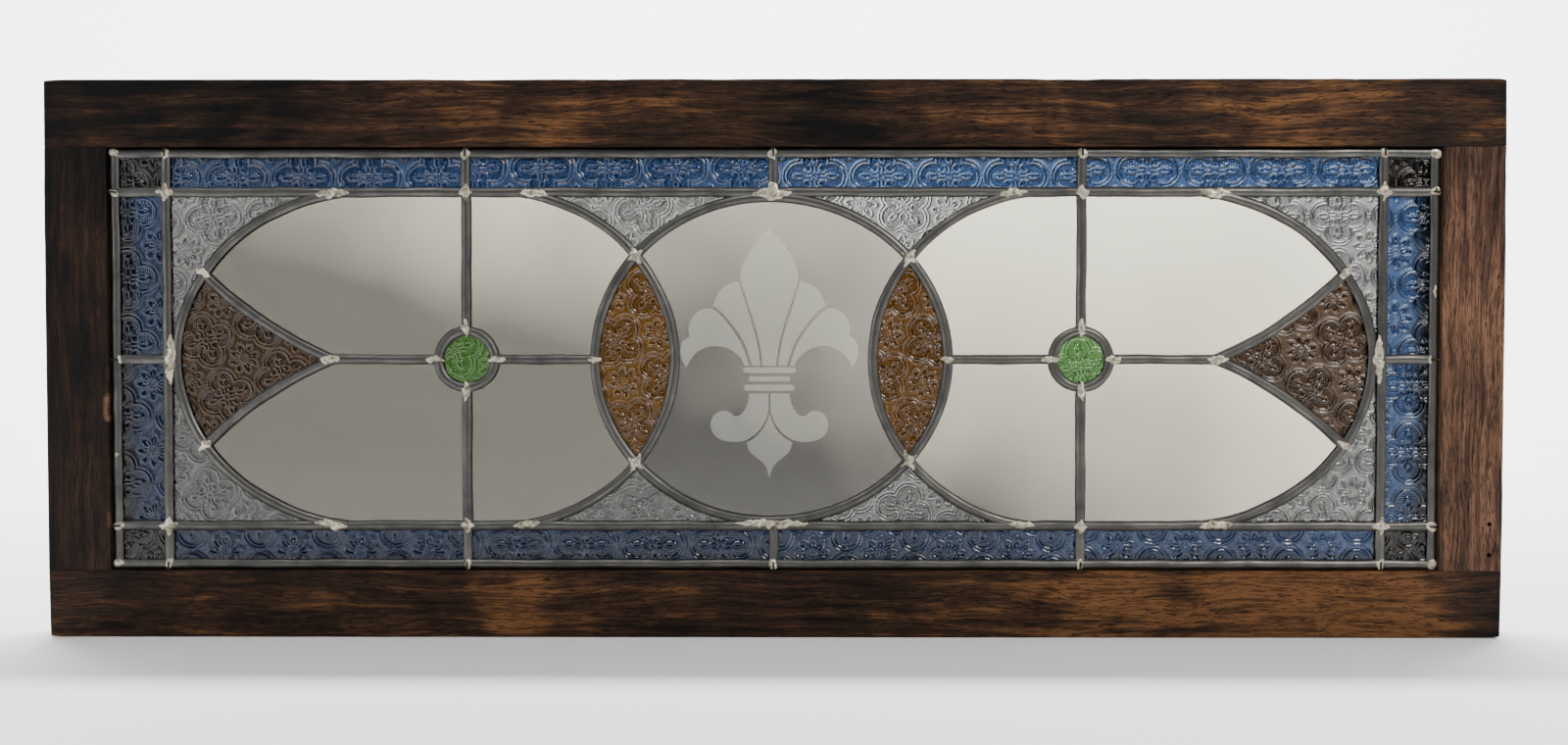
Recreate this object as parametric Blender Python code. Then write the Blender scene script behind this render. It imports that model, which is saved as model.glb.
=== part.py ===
"""Stained glass window: a leaded panel of coloured and clear glass, pinned into a wooden frame.

Units are metres, +Z up. The front of the window faces -Y. The origin is the middle of the
frame's underside. The lead net is drawn as centrelines in the X-Z plane: the cames are swept
along them, and the panes are what the same centrelines leave of one sheet of glass.
"""
import bpy
import bmesh
from math import asin, copysign, cos, hypot, pi, sin, sqrt
from mathutils import Matrix, Vector
from mathutils.bvhtree import BVHTree

# The frame
WIDTH = 0.914
HEIGHT = 0.350
DEPTH = 0.028
STILE_WIDTH = 0.0394
RAIL_HEIGHT = 0.0421
EDGE_ROUND = 0.0010
LIP = 0.005
TENON_LENGTH = 0.020
TENON_WIDTH = 0.022
TENON_THICKNESS = 0.009

# The leaded panel
PANEL_RECESS = 0.003
PANEL_GAP = 0.0006
GLASS_THICKNESS = 0.003
CAME_WIDTH = 0.006
CAME_CROWN = 0.0032
CAME_HEART = 0.0015
CAME_FLANGE = 0.0013
FIT = 0.0003

# The layout of the lead lines
SIDE_BORDER = 0.0321
TOP_BORDER = 0.0243
RONDEL_X = 0.1933
RING_RADIUS = 0.0177
CIRCLE_SHIFT = -0.0015
CIRCLE_HALF_WIDTH = 0.1111
CIRCLE_DROP = 0.0032
CIRCLE_SOLDER = 0.018
OVAL_TIP_X = 0.0622
OVAL_INNER_REACH = 0.1151
OVAL_OUTER_REACH = 0.125
OVAL_OUTER_GAP = 0.0058
OVAL_RISE = 0.0011
OVAL_SOLDER = 0.0165
END_PIECE_LENGTH = 0.0984
END_PIECE_HALF_HEIGHT = 0.0542
END_PIECE_SAGITTA = 0.0048

# The pins and the old nail holes
PIN_RADIUS = 0.0007
PIN_LENGTH = 0.0135
PIN_OVERLAP = 0.0055
NAIL_HOLE_RADIUS = 0.0011
NAIL_HOLE_DEPTH = 0.006
NAIL_HOLE_INSET = 0.0083
NAIL_HOLE_HEIGHTS = (0.0524, 0.0717)

# How many straight steps a curve gets
CIRCLE_STEPS = 36
OVAL_END_STEPS = 14
RING_STEPS = 16
END_PIECE_STEPS = 5
PIN_SIDES = 8

# Worked out from the sizes above
FRONT_Y = -DEPTH / 2
MID_Z = HEIGHT / 2
CAME_THICKNESS = GLASS_THICKNESS + 2 * FIT + 2 * CAME_FLANGE
CAME_FRONT_Y = FRONT_Y + PANEL_RECESS
GLASS_Y = CAME_FRONT_Y + CAME_THICKNESS / 2
LIP_Y = CAME_FRONT_Y + CAME_THICKNESS + FIT
OPENING_X = WIDTH / 2 - STILE_WIDTH
OPENING_Z = HEIGHT / 2 - RAIL_HEIGHT
OUTER_X = OPENING_X - PANEL_GAP - CAME_WIDTH / 2
OUTER_Z = OPENING_Z - PANEL_GAP - CAME_WIDTH / 2
INNER_X = OUTER_X - SIDE_BORDER
INNER_Z = OUTER_Z - TOP_BORDER
CIRCLE_HALF_HEIGHT = INNER_Z - CIRCLE_DROP
OVAL_END_X = INNER_X - OVAL_OUTER_GAP
OVAL_HALF_HEIGHT = INNER_Z + OVAL_RISE
END_TIP_X = OVAL_END_X - END_PIECE_LENGTH

WOOD = ("frame_wood", (0.075, 0.042, 0.026), 0.6, 0.0)
LEAD = ("lead", (0.14, 0.14, 0.135), 0.5, 0.7)
BLUE = ("blue_glass", (0.06, 0.13, 0.32), 0.12, 0.0)
DARK_AMBER = ("dark_amber_glass", (0.03, 0.018, 0.008), 0.12, 0.0)
AMBER = ("amber_glass", (0.30, 0.13, 0.015), 0.12, 0.0)
GREEN = ("green_glass", (0.14, 0.42, 0.12), 0.12, 0.0)
PATTERN = ("pattern_glass", (0.55, 0.55, 0.52), 0.15, 0.0)
CLEAR = ("clear_glass", (0.72, 0.72, 0.68), 0.08, 0.0)
STEEL = ("pin_steel", (0.09, 0.085, 0.08), 0.55, 0.8)


def clear_scene():
    for obj in list(bpy.data.objects):
        bpy.data.objects.remove(obj, do_unlink=True)


def material(look):
    name, colour, roughness, metallic = look
    found = bpy.data.materials.get(name)
    if found:
        return found
    made = bpy.data.materials.new(name)
    made.use_nodes = True
    shader = made.node_tree.nodes["Principled BSDF"]
    shader.inputs["Base Color"].default_value = (*colour, 1.0)
    shader.inputs["Roughness"].default_value = roughness
    shader.inputs["Metallic"].default_value = metallic
    return made


def add_object(name, shape, look):
    """Turn a bmesh into an object with a material."""
    bmesh.ops.recalc_face_normals(shape, faces=shape.faces)
    mesh = bpy.data.meshes.new(name)
    shape.to_mesh(mesh)
    shape.free()
    obj = bpy.data.objects.new(name, mesh)
    bpy.context.scene.collection.objects.link(obj)
    obj.data.materials.append(material(look))
    return obj


def as_cutter(obj):
    obj.hide_render = True
    obj.display_type = "WIRE"
    return obj


def add_box(shape, x_range, y_range, z_range):
    low = Vector((x_range[0], y_range[0], z_range[0]))
    high = Vector((x_range[1], y_range[1], z_range[1]))
    place = Matrix.Translation((low + high) / 2) @ Matrix.Diagonal((*(high - low), 1.0))
    bmesh.ops.create_cube(shape, size=1.0, matrix=place)


def box(name, x_range, y_range, z_range, look=WOOD):
    shape = bmesh.new()
    add_box(shape, x_range, y_range, z_range)
    return add_object(name, shape, look)


def boolean(obj, operation, other):
    """Add a Boolean modifier whose operand is an object or a collection."""
    modifier = obj.modifiers.new(operation.lower(), "BOOLEAN")
    modifier.operation = operation
    modifier.solver = "EXACT"
    if isinstance(other, bpy.types.Collection):
        modifier.operand_type = "COLLECTION"
        modifier.collection = other
    else:
        modifier.object = other
    return modifier


def cutter_collection(name, objects):
    """Gather helper objects, shown as wires only, in a collection of their own."""
    group = bpy.data.collections.new(name)
    bpy.context.scene.collection.children.link(group)
    for obj in objects:
        bpy.context.scene.collection.objects.unlink(obj)
        group.objects.link(as_cutter(obj))
    return group


# The lead lines, as points (x, z) about the window's middle height


def ellipse_points(centre_x, half_width, half_height, start, end, steps):
    points = []
    for step in range(steps + 1):
        angle = start + (end - start) * step / steps
        points.append((centre_x + half_width * cos(angle), half_height * sin(angle)))
    return points


def closed_ellipse(centre_x, half_width, half_height, steps):
    return ellipse_points(centre_x, half_width, half_height, 0.0, 2 * pi, steps)[:-1]


def half_chord(half_width, half_height, z):
    """Half the width of an ellipse at the height z above its middle."""
    return half_width * sqrt(1 - (z / half_height) ** 2)


def arc_between(start, end, sagitta, steps):
    """Circular arc from start to end; a positive sagitta bulges to the left of the way there."""
    chord = hypot(end[0] - start[0], end[1] - start[1])
    rise = abs(sagitta)
    radius = (chord * chord / 4 + rise * rise) / (2 * rise)
    half_angle = asin(chord / 2 / radius)
    along = ((end[0] - start[0]) / chord, (end[1] - start[1]) / chord)
    points = []
    for step in range(steps + 1):
        angle = half_angle * (2 * step / steps - 1)
        forward = chord / 2 + radius * sin(angle)
        left = copysign(radius * cos(angle) - (radius - rise), sagitta)
        x = start[0] + forward * along[0] - left * along[1]
        z = start[1] + forward * along[1] + left * along[0]
        points.append((x, z))
    return points


def oval_end(side, tip_x, reach):
    """The curved end of an oval, from the lower to the upper inner border came."""
    turn = asin(INNER_Z / OVAL_HALF_HEIGHT)
    points = ellipse_points(tip_x - reach, reach, OVAL_HALF_HEIGHT, -turn, turn, OVAL_END_STEPS)
    return [(side * x, z) for x, z in points]


def border_lines(side):
    """The straight cames of the border on one side, left or right and below or above."""
    return [[(side * INNER_X, -OUTER_Z), (side * INNER_X, OUTER_Z)],
            [(-OUTER_X, side * INNER_Z), (OUTER_X, side * INNER_Z)],
            [(side * INNER_X, 0.0), (side * OUTER_X, 0.0)],
            [(0.0, side * INNER_Z), (0.0, side * OUTER_Z)]]


def cross_lines(side):
    """The straight cames that run from an oval's rondel."""
    circle_x = CIRCLE_SHIFT + side * CIRCLE_HALF_WIDTH
    return [[(side * END_TIP_X, 0.0), (side * (RONDEL_X + RING_RADIUS), 0.0)],
            [(side * (RONDEL_X - RING_RADIUS), 0.0), (circle_x, 0.0)],
            [(side * RONDEL_X, -OUTER_Z), (side * RONDEL_X, -RING_RADIUS)],
            [(side * RONDEL_X, RING_RADIUS), (side * RONDEL_X, OUTER_Z)]]


def end_piece_lines(side):
    """The two arcs that part the amber end piece from the clear panes."""
    centre_x = OVAL_END_X - OVAL_OUTER_REACH
    corner_x = centre_x + half_chord(OVAL_OUTER_REACH, OVAL_HALF_HEIGHT, END_PIECE_HALF_HEIGHT)
    tip = (side * END_TIP_X, 0.0)
    lines = []
    for up in (-1, 1):
        corner = (side * corner_x, up * END_PIECE_HALF_HEIGHT)
        lines.append(arc_between(tip, corner, -side * up * END_PIECE_SAGITTA, END_PIECE_STEPS))
    return lines


def open_lead_lines():
    lines = []
    for side in (-1, 1):
        lines += border_lines(side)
        lines += cross_lines(side)
        lines += end_piece_lines(side)
        lines.append(oval_end(side, OVAL_END_X, OVAL_OUTER_REACH))
        lines.append(oval_end(-side, -OVAL_TIP_X, OVAL_INNER_REACH))
    return lines


def closed_lead_lines():
    circle = closed_ellipse(CIRCLE_SHIFT, CIRCLE_HALF_WIDTH, CIRCLE_HALF_HEIGHT, CIRCLE_STEPS)
    rings = [closed_ellipse(side * RONDEL_X, RING_RADIUS, RING_RADIUS, RING_STEPS)
             for side in (-1, 1)]
    return [circle] + rings


def outer_lead_line():
    return [(-OUTER_X, -OUTER_Z), (OUTER_X, -OUTER_Z), (OUTER_X, OUTER_Z), (-OUTER_X, OUTER_Z)]


def solder_fills():
    """Where solder fills the gap between two cames side by side, as (x range, z range)."""
    fills = []
    for side in (-1, 1):
        x_range = (CIRCLE_SHIFT - CIRCLE_SOLDER, CIRCLE_SHIFT + CIRCLE_SOLDER)
        z_range = sorted((side * (CIRCLE_HALF_HEIGHT - CAME_HEART / 2), side * INNER_Z))
        fills.append((x_range, z_range))
        x_range = sorted((side * (OVAL_END_X - CAME_HEART / 2), side * INNER_X))
        fills.append((x_range, (-OVAL_SOLDER, OVAL_SOLDER)))
    return fills


# The lead net and the panes


def sweep(name, points, closed, outline, look):
    """Sweep an outline (across, along Y) along a line of points in the window's plane."""
    shape = bmesh.new()
    count = len(points)
    rings = []
    for index, (x, z) in enumerate(points):
        before = points[index - 1] if closed or index > 0 else None
        after = points[(index + 1) % count] if closed or index < count - 1 else None
        steps = []
        if before:
            steps.append(Vector((x - before[0], z - before[1])).normalized())
        if after:
            steps.append(Vector((after[0] - x, after[1] - z)).normalized())
        along = sum(steps, Vector((0.0, 0.0))).normalized()
        mitre = 1 / along.dot(steps[0])
        ring = []
        for across, depth in outline:
            offset = across * mitre
            place = (x - offset * along.y, GLASS_Y + depth, MID_Z + z + offset * along.x)
            ring.append(shape.verts.new(place))
        rings.append(ring)
    for index in range(count if closed else count - 1):
        first = rings[index]
        second = rings[(index + 1) % count]
        for corner in range(len(outline)):
            following = (corner + 1) % len(outline)
            shape.faces.new((first[corner], first[following], second[following], second[corner]))
    if not closed:
        shape.faces.new(rings[0])
        shape.faces.new(list(reversed(rings[-1])))
    return add_object(name, shape, look)


def came_outline():
    """The H-section: a heart between two flanges, with a flat crown on each flange."""
    heart = CAME_HEART / 2
    edge = CAME_WIDTH / 2
    crown = CAME_CROWN / 2
    face = CAME_THICKNESS / 2
    channel = GLASS_THICKNESS / 2 + FIT
    return [(-crown, -face), (crown, -face), (edge, -channel), (heart, -channel),
            (heart, channel), (edge, channel), (crown, face), (-crown, face),
            (-edge, channel), (-heart, channel), (-heart, -channel), (-edge, -channel)]


def glass_cut_outline():
    """What a came's heart and its play take out of the sheet of glass."""
    across = CAME_HEART / 2 + FIT
    return [(-across, -GLASS_THICKNESS), (across, -GLASS_THICKNESS),
            (across, GLASS_THICKNESS), (-across, GLASS_THICKNESS)]


def fill_box(name, fill, play, half_depth):
    x_range, z_range = fill
    return box(name, (x_range[0] - play, x_range[1] + play),
               (GLASS_Y - half_depth, GLASS_Y + half_depth),
               (MID_Z + z_range[0] - play, MID_Z + z_range[1] + play), LEAD)


def lead_strips(purpose, outline, play, fill_half_depth):
    """One swept strip for each lead line inside the outer one, and the solder fills."""
    strips = []
    for number, points in enumerate(closed_lead_lines(), 1):
        strips.append(sweep(f"{purpose}_round_{number}", points, True, outline, LEAD))
    for number, points in enumerate(open_lead_lines(), 1):
        strips.append(sweep(f"{purpose}_line_{number}", points, False, outline, LEAD))
    for number, fill in enumerate(solder_fills(), 1):
        strips.append(fill_box(f"{purpose}_fill_{number}", fill, play, fill_half_depth))
    return cutter_collection(f"{purpose}_strips", strips)


def build_lead_cames():
    outline = came_outline()
    net = sweep("lead_cames", outer_lead_line(), True, outline, LEAD)
    fill_half_depth = CAME_THICKNESS / 2 - CAME_FLANGE / 2
    boolean(net, "UNION", lead_strips("came", outline, 0.0, fill_half_depth))
    return net


def pane_places():
    """The name, a point inside and the look of each pane."""
    border_x = (INNER_X + OUTER_X) / 2
    border_z = (INNER_Z + OUTER_Z) / 2
    wide_x = (INNER_X + RONDEL_X) / 2
    spandrel_z = INNER_Z - CAME_WIDTH * 2
    circle_x = half_chord(CIRCLE_HALF_WIDTH, CIRCLE_HALF_HEIGHT, spandrel_z)
    oval_x = (OVAL_TIP_X + OVAL_INNER_REACH
              - half_chord(OVAL_INNER_REACH, OVAL_HALF_HEIGHT, spandrel_z))
    places = [("fleur_de_lis_pane", (CIRCLE_SHIFT, 0.0), CLEAR)]
    for side, left_right in ((-1, "left"), (1, "right")):
        lens_x = (CIRCLE_SHIFT + side * (CIRCLE_HALF_WIDTH + OVAL_TIP_X)) / 2
        end_x = side * (END_TIP_X + OVAL_END_X) / 2
        places.append((f"rondel_{left_right}", (side * RONDEL_X, 0.0), GREEN))
        places.append((f"amber_lens_{left_right}", (lens_x, 0.0), AMBER))
        places.append((f"amber_end_{left_right}", (end_x, 0.0), AMBER))
        for up, top_bottom in ((1, "top"), (-1, "bottom")):
            where = f"{left_right}_{top_bottom}"
            border = f"blue_border_{top_bottom}_{left_right}"
            quarter_z = up * INNER_Z / 2
            inner_x = side * (RONDEL_X - 2 * RING_RADIUS)
            outer_x = side * (RONDEL_X + 2 * RING_RADIUS)
            corner = (side * (INNER_X - CAME_WIDTH), up * (INNER_Z - CAME_WIDTH))
            middle = (side * (circle_x + oval_x) / 2, up * spandrel_z)
            places.append((f"corner_square_{where}", (side * border_x, up * border_z), DARK_AMBER))
            places.append((f"{border}_outer", (side * wide_x, up * border_z), BLUE))
            places.append((f"{border}_inner", (side * RONDEL_X / 2, up * border_z), BLUE))
            places.append((f"blue_border_side_{where}", (side * border_x, quarter_z), BLUE))
            places.append((f"corner_spandrel_{where}", corner, PATTERN))
            places.append((f"circle_spandrel_{where}", middle, PATTERN))
            places.append((f"clear_pane_{where}_outer", (outer_x, quarter_z), CLEAR))
            places.append((f"clear_pane_{where}_inner", (inner_x, quarter_z), CLEAR))
    return places


def cut_sheet():
    """One sheet of glass with the cames' hearts cut out of it, as a bmesh of loose panes."""
    edge = CAME_HEART / 2 + FIT
    sheet = box("glass_sheet", (edge - OUTER_X, OUTER_X - edge),
                (GLASS_Y - GLASS_THICKNESS / 2, GLASS_Y + GLASS_THICKNESS / 2),
                (MID_Z - OUTER_Z + edge, MID_Z + OUTER_Z - edge), CLEAR)
    cuts = lead_strips("glass_cut", glass_cut_outline(), FIT, GLASS_THICKNESS)
    boolean(sheet, "DIFFERENCE", cuts)
    graph = bpy.context.evaluated_depsgraph_get()
    shape = bmesh.new()
    shape.from_object(sheet, graph)
    bpy.data.objects.remove(sheet)
    for cut in list(cuts.objects):
        bpy.data.objects.remove(cut)
    bpy.data.collections.remove(cuts)
    return shape


def linked_faces(start):
    """Every face that hangs together with the first one."""
    found = {start}
    waiting = [start]
    while waiting:
        for edge in waiting.pop().edges:
            for face in edge.link_faces:
                if face not in found:
                    found.add(face)
                    waiting.append(face)
    return found


def build_panes():
    sheet = cut_sheet()
    tree = BVHTree.FromBMesh(sheet)
    for name, (x, z), look in pane_places():
        hit = tree.ray_cast(Vector((x, FRONT_Y, MID_Z + z)), Vector((0.0, 1.0, 0.0)))[2]
        pane = sheet.copy()
        pane.faces.ensure_lookup_table()
        kept = linked_faces(pane.faces[hit])
        others = [face for face in pane.faces if face not in kept]
        bmesh.ops.delete(pane, geom=others, context="FACES")
        add_object(name, pane, look)
    sheet.free()


# The frame


def bar(name, x_range, z_range, is_outer):
    """A full-depth bar of the frame with its outer edges rounded over."""
    shape = bmesh.new()
    add_box(shape, x_range, (-DEPTH / 2, DEPTH / 2), z_range)
    edges = [edge for edge in shape.edges if is_outer((edge.verts[0].co + edge.verts[1].co) / 2)]
    bmesh.ops.bevel(shape, geom=edges, offset=EDGE_ROUND, segments=2, profile=0.5,
                    affect="EDGES", clamp_overlap=True)
    return add_object(name, shape, WOOD)


def round_bar(name, foot, direction, start, end, radius, look):
    """A round bar along a direction, between two distances from its foot."""
    shape = bmesh.new()
    turn = Vector((0.0, 0.0, 1.0)).rotation_difference(direction).to_matrix().to_4x4()
    centre = foot + direction * (start + end) / 2
    bmesh.ops.create_cone(shape, cap_ends=True, segments=PIN_SIDES, radius1=radius,
                          radius2=radius, depth=end - start,
                          matrix=Matrix.Translation(centre) @ turn)
    return add_object(name, shape, look)


def pin_places():
    """The name, foot, direction and distance from foot to rebate wall of each pin."""
    pin_y = CAME_FRONT_Y - FIT - PIN_RADIUS
    places = []
    for up, edge in ((1, "top"), (-1, "bottom")):
        for number, x in enumerate((-INNER_X, -RONDEL_X, 0.0, RONDEL_X, INNER_X), 1):
            foot = Vector((x, pin_y, MID_Z))
            places.append((f"pin_{edge}_{number}", foot, Vector((0.0, 0.0, up)), OPENING_Z))
    for side, edge in ((-1, "left"), (1, "right")):
        for number, z in enumerate((INNER_Z, 0.0, -INNER_Z), 1):
            foot = Vector((0.0, pin_y, MID_Z + z))
            places.append((f"pin_{edge}_{number}", foot, Vector((side, 0.0, 0.0)), OPENING_X))
    return places


def build_pins():
    for name, foot, outward, wall in pin_places():
        start = wall - PIN_OVERLAP
        round_bar(name, foot, outward, start, start + PIN_LENGTH, PIN_RADIUS, STEEL)


def pin_holes(edge):
    """The clearance holes for the pins of one edge of the panel."""
    holes = []
    depth = PIN_LENGTH - PIN_OVERLAP + FIT
    for name, foot, outward, wall in pin_places():
        if name.startswith(f"pin_{edge}_"):
            holes.append(round_bar(f"hole_for_{name}", foot, outward, wall - PIN_OVERLAP,
                                   wall + depth, PIN_RADIUS + FIT, WOOD))
    return holes


def tenon(name, side, up, play, root):
    """The tongue of a stile, or with some play the mortise for it, at one corner."""
    centre_x = side * (OPENING_X + WIDTH / 2) / 2
    half_width = TENON_WIDTH / 2 + play
    half_thickness = TENON_THICKNESS / 2 + play
    z_range = sorted((up * (OPENING_Z - root), up * (OPENING_Z + TENON_LENGTH + play)))
    return box(name, (centre_x - half_width, centre_x + half_width),
               (-half_thickness, half_thickness), (MID_Z + z_range[0], MID_Z + z_range[1]))


def build_rail(name, up, edge):
    """A rail runs the full width and carries the lip between the stiles' lips."""
    z_range = sorted((MID_Z + up * OPENING_Z, MID_Z + up * HEIGHT / 2))
    joint_z = MID_Z + up * OPENING_Z
    rail = bar(name, (-WIDTH / 2, WIDTH / 2), z_range,
               lambda middle: abs(middle.z - joint_z) > FIT
               and (abs(middle.x) > WIDTH / 2 - FIT or abs(middle.z - joint_z) > RAIL_HEIGHT - FIT))
    lip_x = OPENING_X - LIP - FIT
    lip_z = sorted((MID_Z + up * (OPENING_Z - LIP), MID_Z + up * (OPENING_Z + LIP)))
    lip = box(f"{name}_lip", (-lip_x, lip_x), (LIP_Y, DEPTH / 2), lip_z)
    mortises = [tenon(f"{name}_mortise_{side}", side, up, FIT, FIT) for side in (-1, 1)]
    boolean(rail, "UNION", as_cutter(lip))
    boolean(rail, "DIFFERENCE", cutter_collection(f"{name}_cuts", mortises + pin_holes(edge)))
    return rail


def nail_holes():
    holes = []
    for number, height in enumerate(NAIL_HOLE_HEIGHTS, 1):
        foot = Vector((WIDTH / 2 - NAIL_HOLE_INSET, 0.0, height))
        holes.append(round_bar(f"nail_hole_{number}", foot, Vector((0.0, -1.0, 0.0)),
                               DEPTH / 2 - NAIL_HOLE_DEPTH, DEPTH / 2 + NAIL_HOLE_DEPTH,
                               NAIL_HOLE_RADIUS, WOOD))
    return holes


def build_stile(name, side, edge, old_holes):
    """A stile stands between the rails with a tongue into each of them."""
    x_range = sorted((side * OPENING_X, side * WIDTH / 2))
    z_range = (MID_Z - OPENING_Z + FIT, MID_Z + OPENING_Z - FIT)
    stile = bar(name, x_range, z_range,
                lambda middle: abs(middle.x) > WIDTH / 2 - FIT and abs(middle.z - MID_Z) < FIT)
    lip_x = sorted((side * (OPENING_X - LIP), side * (OPENING_X + LIP)))
    lip = box(f"{name}_lip", lip_x, (LIP_Y, DEPTH / 2), z_range)
    tongues = [tenon(f"{name}_tenon_{up}", side, up, 0.0, LIP) for up in (-1, 1)]
    boolean(stile, "UNION", cutter_collection(f"{name}_parts", [lip] + tongues))
    boolean(stile, "DIFFERENCE", cutter_collection(f"{name}_cuts", pin_holes(edge) + old_holes))
    return stile


clear_scene()
build_rail("frame_top_rail", 1, "top")
build_rail("frame_bottom_rail", -1, "bottom")
build_stile("frame_left_stile", -1, "left", [])
build_stile("frame_right_stile", 1, "right", nail_holes())
build_lead_cames()
build_panes()
build_pins()
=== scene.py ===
"""Stained glass window: the finished look of the leaded panel and its old wooden frame.

Units are metres, +Z up, and the front of the window faces -Y. The lead lines are points (x, z)
about the window's middle height, as in the part's own source.
"""
import random
from math import asin, ceil, copysign, cos, hypot, pi, radians, sin, sqrt

import bmesh
import bpy
import numpy as np
from mathutils import Matrix, Vector, noise


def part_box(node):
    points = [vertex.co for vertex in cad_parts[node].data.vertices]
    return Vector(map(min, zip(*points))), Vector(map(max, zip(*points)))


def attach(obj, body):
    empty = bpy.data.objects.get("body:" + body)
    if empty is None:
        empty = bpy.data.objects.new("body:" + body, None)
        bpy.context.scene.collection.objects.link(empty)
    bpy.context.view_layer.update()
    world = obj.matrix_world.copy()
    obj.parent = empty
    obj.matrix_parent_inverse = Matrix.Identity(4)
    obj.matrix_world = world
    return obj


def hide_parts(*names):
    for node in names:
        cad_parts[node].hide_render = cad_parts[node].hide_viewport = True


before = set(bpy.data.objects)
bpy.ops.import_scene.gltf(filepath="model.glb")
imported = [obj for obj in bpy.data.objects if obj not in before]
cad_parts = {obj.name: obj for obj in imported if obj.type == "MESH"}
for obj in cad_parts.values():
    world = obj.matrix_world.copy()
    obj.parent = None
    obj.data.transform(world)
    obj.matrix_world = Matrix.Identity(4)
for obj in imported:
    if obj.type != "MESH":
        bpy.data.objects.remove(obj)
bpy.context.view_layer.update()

# Sizes shared with the part
WIDTH = 0.914
HEIGHT = 0.350
DEPTH = 0.028
STILE_WIDTH = 0.0394
RAIL_HEIGHT = 0.0421
PANEL_RECESS = 0.003
PANEL_GAP = 0.0006
GLASS_THICKNESS = 0.003
FIT = 0.0003
CAME_WIDTH = 0.006
CAME_HEART = 0.0015
CAME_FLANGE = 0.0013
SIDE_BORDER = 0.0321
TOP_BORDER = 0.0243
RONDEL_X = 0.1933
RING_RADIUS = 0.0177
CIRCLE_SHIFT = -0.0015
CIRCLE_HALF_WIDTH = 0.1111
CIRCLE_DROP = 0.0032
OVAL_TIP_X = 0.0622
OVAL_INNER_REACH = 0.1151
OVAL_OUTER_REACH = 0.125
OVAL_OUTER_GAP = 0.0058
OVAL_RISE = 0.0011
END_PIECE_LENGTH = 0.0984
END_PIECE_HALF_HEIGHT = 0.0542
END_PIECE_SAGITTA = 0.0048

# Places that follow from them
FRONT_Y = -DEPTH / 2
MID_Z = HEIGHT / 2
CAME_CHANNEL = GLASS_THICKNESS / 2 + FIT
CAME_THICKNESS = 2 * (CAME_CHANNEL + CAME_FLANGE)
GLASS_Y = FRONT_Y + PANEL_RECESS + CAME_THICKNESS / 2
OPENING_X = WIDTH / 2 - STILE_WIDTH
OPENING_Z = HEIGHT / 2 - RAIL_HEIGHT
OUTER_X = OPENING_X - PANEL_GAP - CAME_WIDTH / 2
OUTER_Z = OPENING_Z - PANEL_GAP - CAME_WIDTH / 2
INNER_X = OUTER_X - SIDE_BORDER
INNER_Z = OUTER_Z - TOP_BORDER
CIRCLE_HALF_HEIGHT = INNER_Z - CIRCLE_DROP
OVAL_END_X = INNER_X - OVAL_OUTER_GAP
OVAL_HALF_HEIGHT = INNER_Z + OVAL_RISE
END_TIP_X = OVAL_END_X - END_PIECE_LENGTH

# The photograph, in its own pixels, laid over the window
PHOTO_MID_X = 791.25
PHOTO_MID_Y = 365.0
PIXEL_WIDTH = 0.0006174
PIXEL_HEIGHT = 0.0006146
PHOTO_PITS = ((1222, 193), (1404, 356), (792, 529), (1462, 192), (173, 353))
PHOTO_NAILS = ((1518, 533), (1518, 564.5))

# How the glass is pressed
RELIEF_STEP = 0.00058
RELIEF_DEPTH = 0.0005
BLUE_PITCH = 0.0420
BLUE_BOTTOM_PITCH = 0.0430
CLEAR_PITCH = 0.0385
AMBER_PITCH = 0.0376
SHEET_MARGIN = 0.002
CUTTER_DEPTH = 2.5

# One motif of the press: four lobes with a leaf in each, and a daisy where four motifs meet
MOTIF = 0.0385
LINE = 0.00050
# How far beside each line the painted light and shade of its sides are taken.
SLANT = 0.00050
SOFT_EDGE = 0.0006
LEAF_MARGIN = 0.0007
LOBE_MARGIN = 0.0004
LOBE_PLACE = 0.0092
LOBE_RADIUS = 0.0093
LOBE_LINE_GAP = 0.0019
LEAF_PLACE = 0.0094
LEAF_HALF_LENGTH = 0.0029
LEAF_HALF_WIDTH = 0.0015
HOOK_PLACE = 0.0044
HOOK_RADIUS = 0.0023
HOOK_LIMIT = 0.0104
EYE_RADIUS = 0.0015
SPOKE_START = 0.0022
SPOKE_END = 0.0060
STIPPLE_MARGIN = 0.0028
STIPPLE_START = 0.0050
DAISY_EYE_RADIUS = 0.0013
PETALS = 8
PETAL_PLACE = 0.0062
PETAL_HALF_LENGTH = 0.0035
PETAL_HALF_WIDTH = 0.0022
VEIN_START = 0.0018
VEIN_END = 0.0060
SEAM_OFFSET = 0.0010
SEAM_START = 0.0186

# How the lead and solder are worked
CAME_STEP = 0.0028
SMALL_RING_STEP = 0.0016
CROWN_RISE = 0.0005
STRIP_SWAY = (0.00016, 0.00008)
STRIP_WAVES = (0.083, 0.029, 0.047)
RING_SWAY = (0.00012, 0.00006)
RING_WAVES = (3, 7, 5)
SWELL = 0.035
CALM_END = 0.01
UPRIGHT = pi / 2
MERGE_Z = 0.1042
OUTER_MERGE_X = {1: 0.2770, -1: 0.2790}
INNER_MERGE_X = {1: 0.1500, -1: 0.1560}
RING_JOINT_REACH = RING_RADIUS * 1.12
LUMP_STEP = 0.0011
LUMP_SINK = 0.0004
LUMP_LIFT = 0.0001
JOINT_REACH = 0.008
SOLDER_VOXEL = 0.0005
SOLDER_ROUGHNESS = 0.00022
SOLDER_FRONT_Y = FRONT_Y + 0.0008
PIT_REACH = 0.0011

# The etched ornament and the pins
ORNAMENT_X = CIRCLE_SHIFT - 0.0011
MILLIMETRES = 1000
PIN_RADIUS = 0.00068
PIN_SIDES = 10
PIN_STEPS = 10
PIN_BOW = 0.0003
PIN_HEAD = 0.78
PIN_POINT_START = 0.85

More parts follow.
